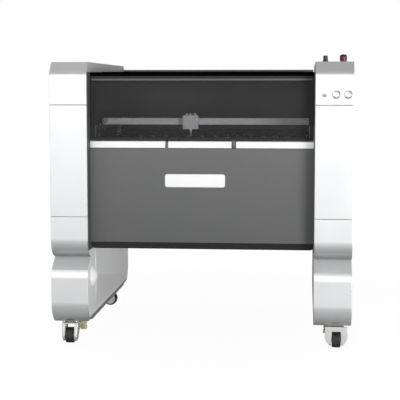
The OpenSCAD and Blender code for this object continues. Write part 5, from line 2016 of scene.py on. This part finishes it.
@dataclass
class Electrics:
    """The power supply, the control box, the inlet and the exhaust collar."""

    flange: float = 0.003
    collar_wall: float = 0.002
    slots: int = 12

    def supply(self) -> None:
        """Makes the laser supply: a case with vents and a terminal rail."""
        low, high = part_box("laser_power_supply")
        case = block("supply_case", low, high, 0.0015)
        vent = block("vent", (-0.004, -0.0015, -0.022), (0.004, 0.004, 0.022), 0.001)
        gap = (high.x - low.x) / (self.slots + 1)
        vents = scatter("vents", vent, [(low.x + gap * (i + 1), low.y, (low.z + high.z) / 2 + 0.012)
            for i in range(self.slots)])
        carve(case, vents)
        place(case, STEEL_Y, "root", ["laser_power_supply"], "steel")
        place(block("terminals", (low.x + 0.02, low.y - 0.01, low.z + 0.008), (high.x - 0.02, low.y + 0.001,
            low.z + 0.022), 0.001), BLACK, "root", (), "black_plastic")
        spots = [(low.x + 0.03 + i * 0.0157, low.y - 0.01, low.z + 0.015) for i in range(8)]
        place(screws("terminal_screws", spots, Axis.Y, -0.0034), ZINC)

    def control_box(self) -> None:
        """Makes the control box with an overlapping cover and sockets."""
        low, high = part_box("control_box")
        base = block("box_base", low, (high.x, high.y, high.z - 0.01), 0.0015)
        cover = block("box_cover", (low.x, low.y, high.z - 0.0105), high, 0.0025, 3)
        place(join("control_case", [base, cover]), BLACK, "root", ["control_box"], "black_plastic")
        socket = block("socket", (-0.011, -0.006, -0.006), (0.011, 0.001, 0.006), 0.001)
        spots = [(low.x + 0.03 + i * 0.04, low.y, low.z + 0.03) for i in range(5)]
        place(scatter("box_sockets", socket, spots), ZINC, "root", (), "zinc")
        corners = [(x, y, high.z) for x in (low.x + 0.012, high.x - 0.012) for y in (low.y + 0.012, high.y - 0.012)]
        place(screws("box_screws", corners, Axis.Z, 0.004), ZINC)

    def inlet(self) -> None:
        """Makes the power inlet with its flange, socket, pins and screws."""
        low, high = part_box("power_inlet")
        x, _, z = (low + high) / 2
        middle, back = (x, z), high.y - self.flange
        flange = prism("flange", plate(high.x - low.x, high.z - low.z, 0.006, middle), Axis.Y, back, high.y)
        body = prism("body", plate(0.048, 0.028, 0.003, middle), Axis.Y, low.y, back + 0.001)
        carve(flange, prism("socket", plate(0.024, 0.016, 0.002, middle), Axis.Y, back - OVER, high.y + OVER))
        carve(body, prism("socket", plate(0.024, 0.016, 0.002, middle), Axis.Y, back - 0.014, high.y + OVER))
        place(join("inlet_moulding", [flange, body]), BLACK, "root", ["power_inlet"], "black_plastic")
        place(scatter("inlet_pins", block("pin", (-0.001, -0.002, -0.002), (0.001, 0.013, 0.002), 0.0004),
            [(middle[0] + dx, back - 0.013, middle[1] + dz) for dx, dz in ((-0.007, -0.002), (0.0, 0.002), (0.007,
            -0.002))]), ZINC)
        spots = [(middle[0] + dx, high.y, middle[1]) for dx in (-0.028, 0.028)]
        place(screws("inlet_screws", spots, Axis.Y, 0.003), ZINC)

    def collar(self) -> None:
        """Makes the exhaust collar with a rolled bead and a screwed flange."""
        low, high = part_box("exhaust_collar")
        x, _, z = (low + high) / 2
        outer = (high.x - low.x) / 2 - 0.016
        inner = outer - self.collar_wall
        face = low.y + self.flange
        profile = [(inner, low.y), (outer + 0.016, low.y), (outer + 0.016, face - 0.0008), (outer + 0.0152, face),
            (outer - 0.0008, face), (outer - 0.0008, high.y - 0.014), (outer, high.y - 0.012), (outer, high.y - 0.01),
            (outer - 0.0008, high.y - 0.008), (outer - 0.0008, high.y - 0.0008), (outer - 0.0012, high.y), (inner,
            high.y), (inner, low.y)]
        place(lathe("collar_spigot", profile, (x, 0.0, z), Axis.Y, 96), STEEL_Y, "root", ["exhaust_collar"], "steel")
        ring = outer + 0.008
        spots = [(x + ring * math.cos(a), face, z + ring * math.sin(a)) for a in (math.tau * (i + 0.5) / 6
            for i in range(6))]
        place(screws("collar_screws", spots, Axis.Y, 0.0034), ZINC)

    def build(self) -> None:
        """Builds the electrics and the collar."""
        self.supply()
        self.control_box()
        self.inlet()
        self.collar()


# ---- the whole machine ----


def main() -> None:
    """Builds the studio, dresses the frame and adds the new pieces."""
    logging.basicConfig(level=logging.INFO, format="%(name)s %(message)s")
    Studio().build()
    dress_nodes()
    for group in (SideCovers, Cabinet, Lid, Controls, Casters, Gantry, LongDrive, Bed, LaserBay, Electrics):
        group().build()


if __name__ == "__main__":
    main()
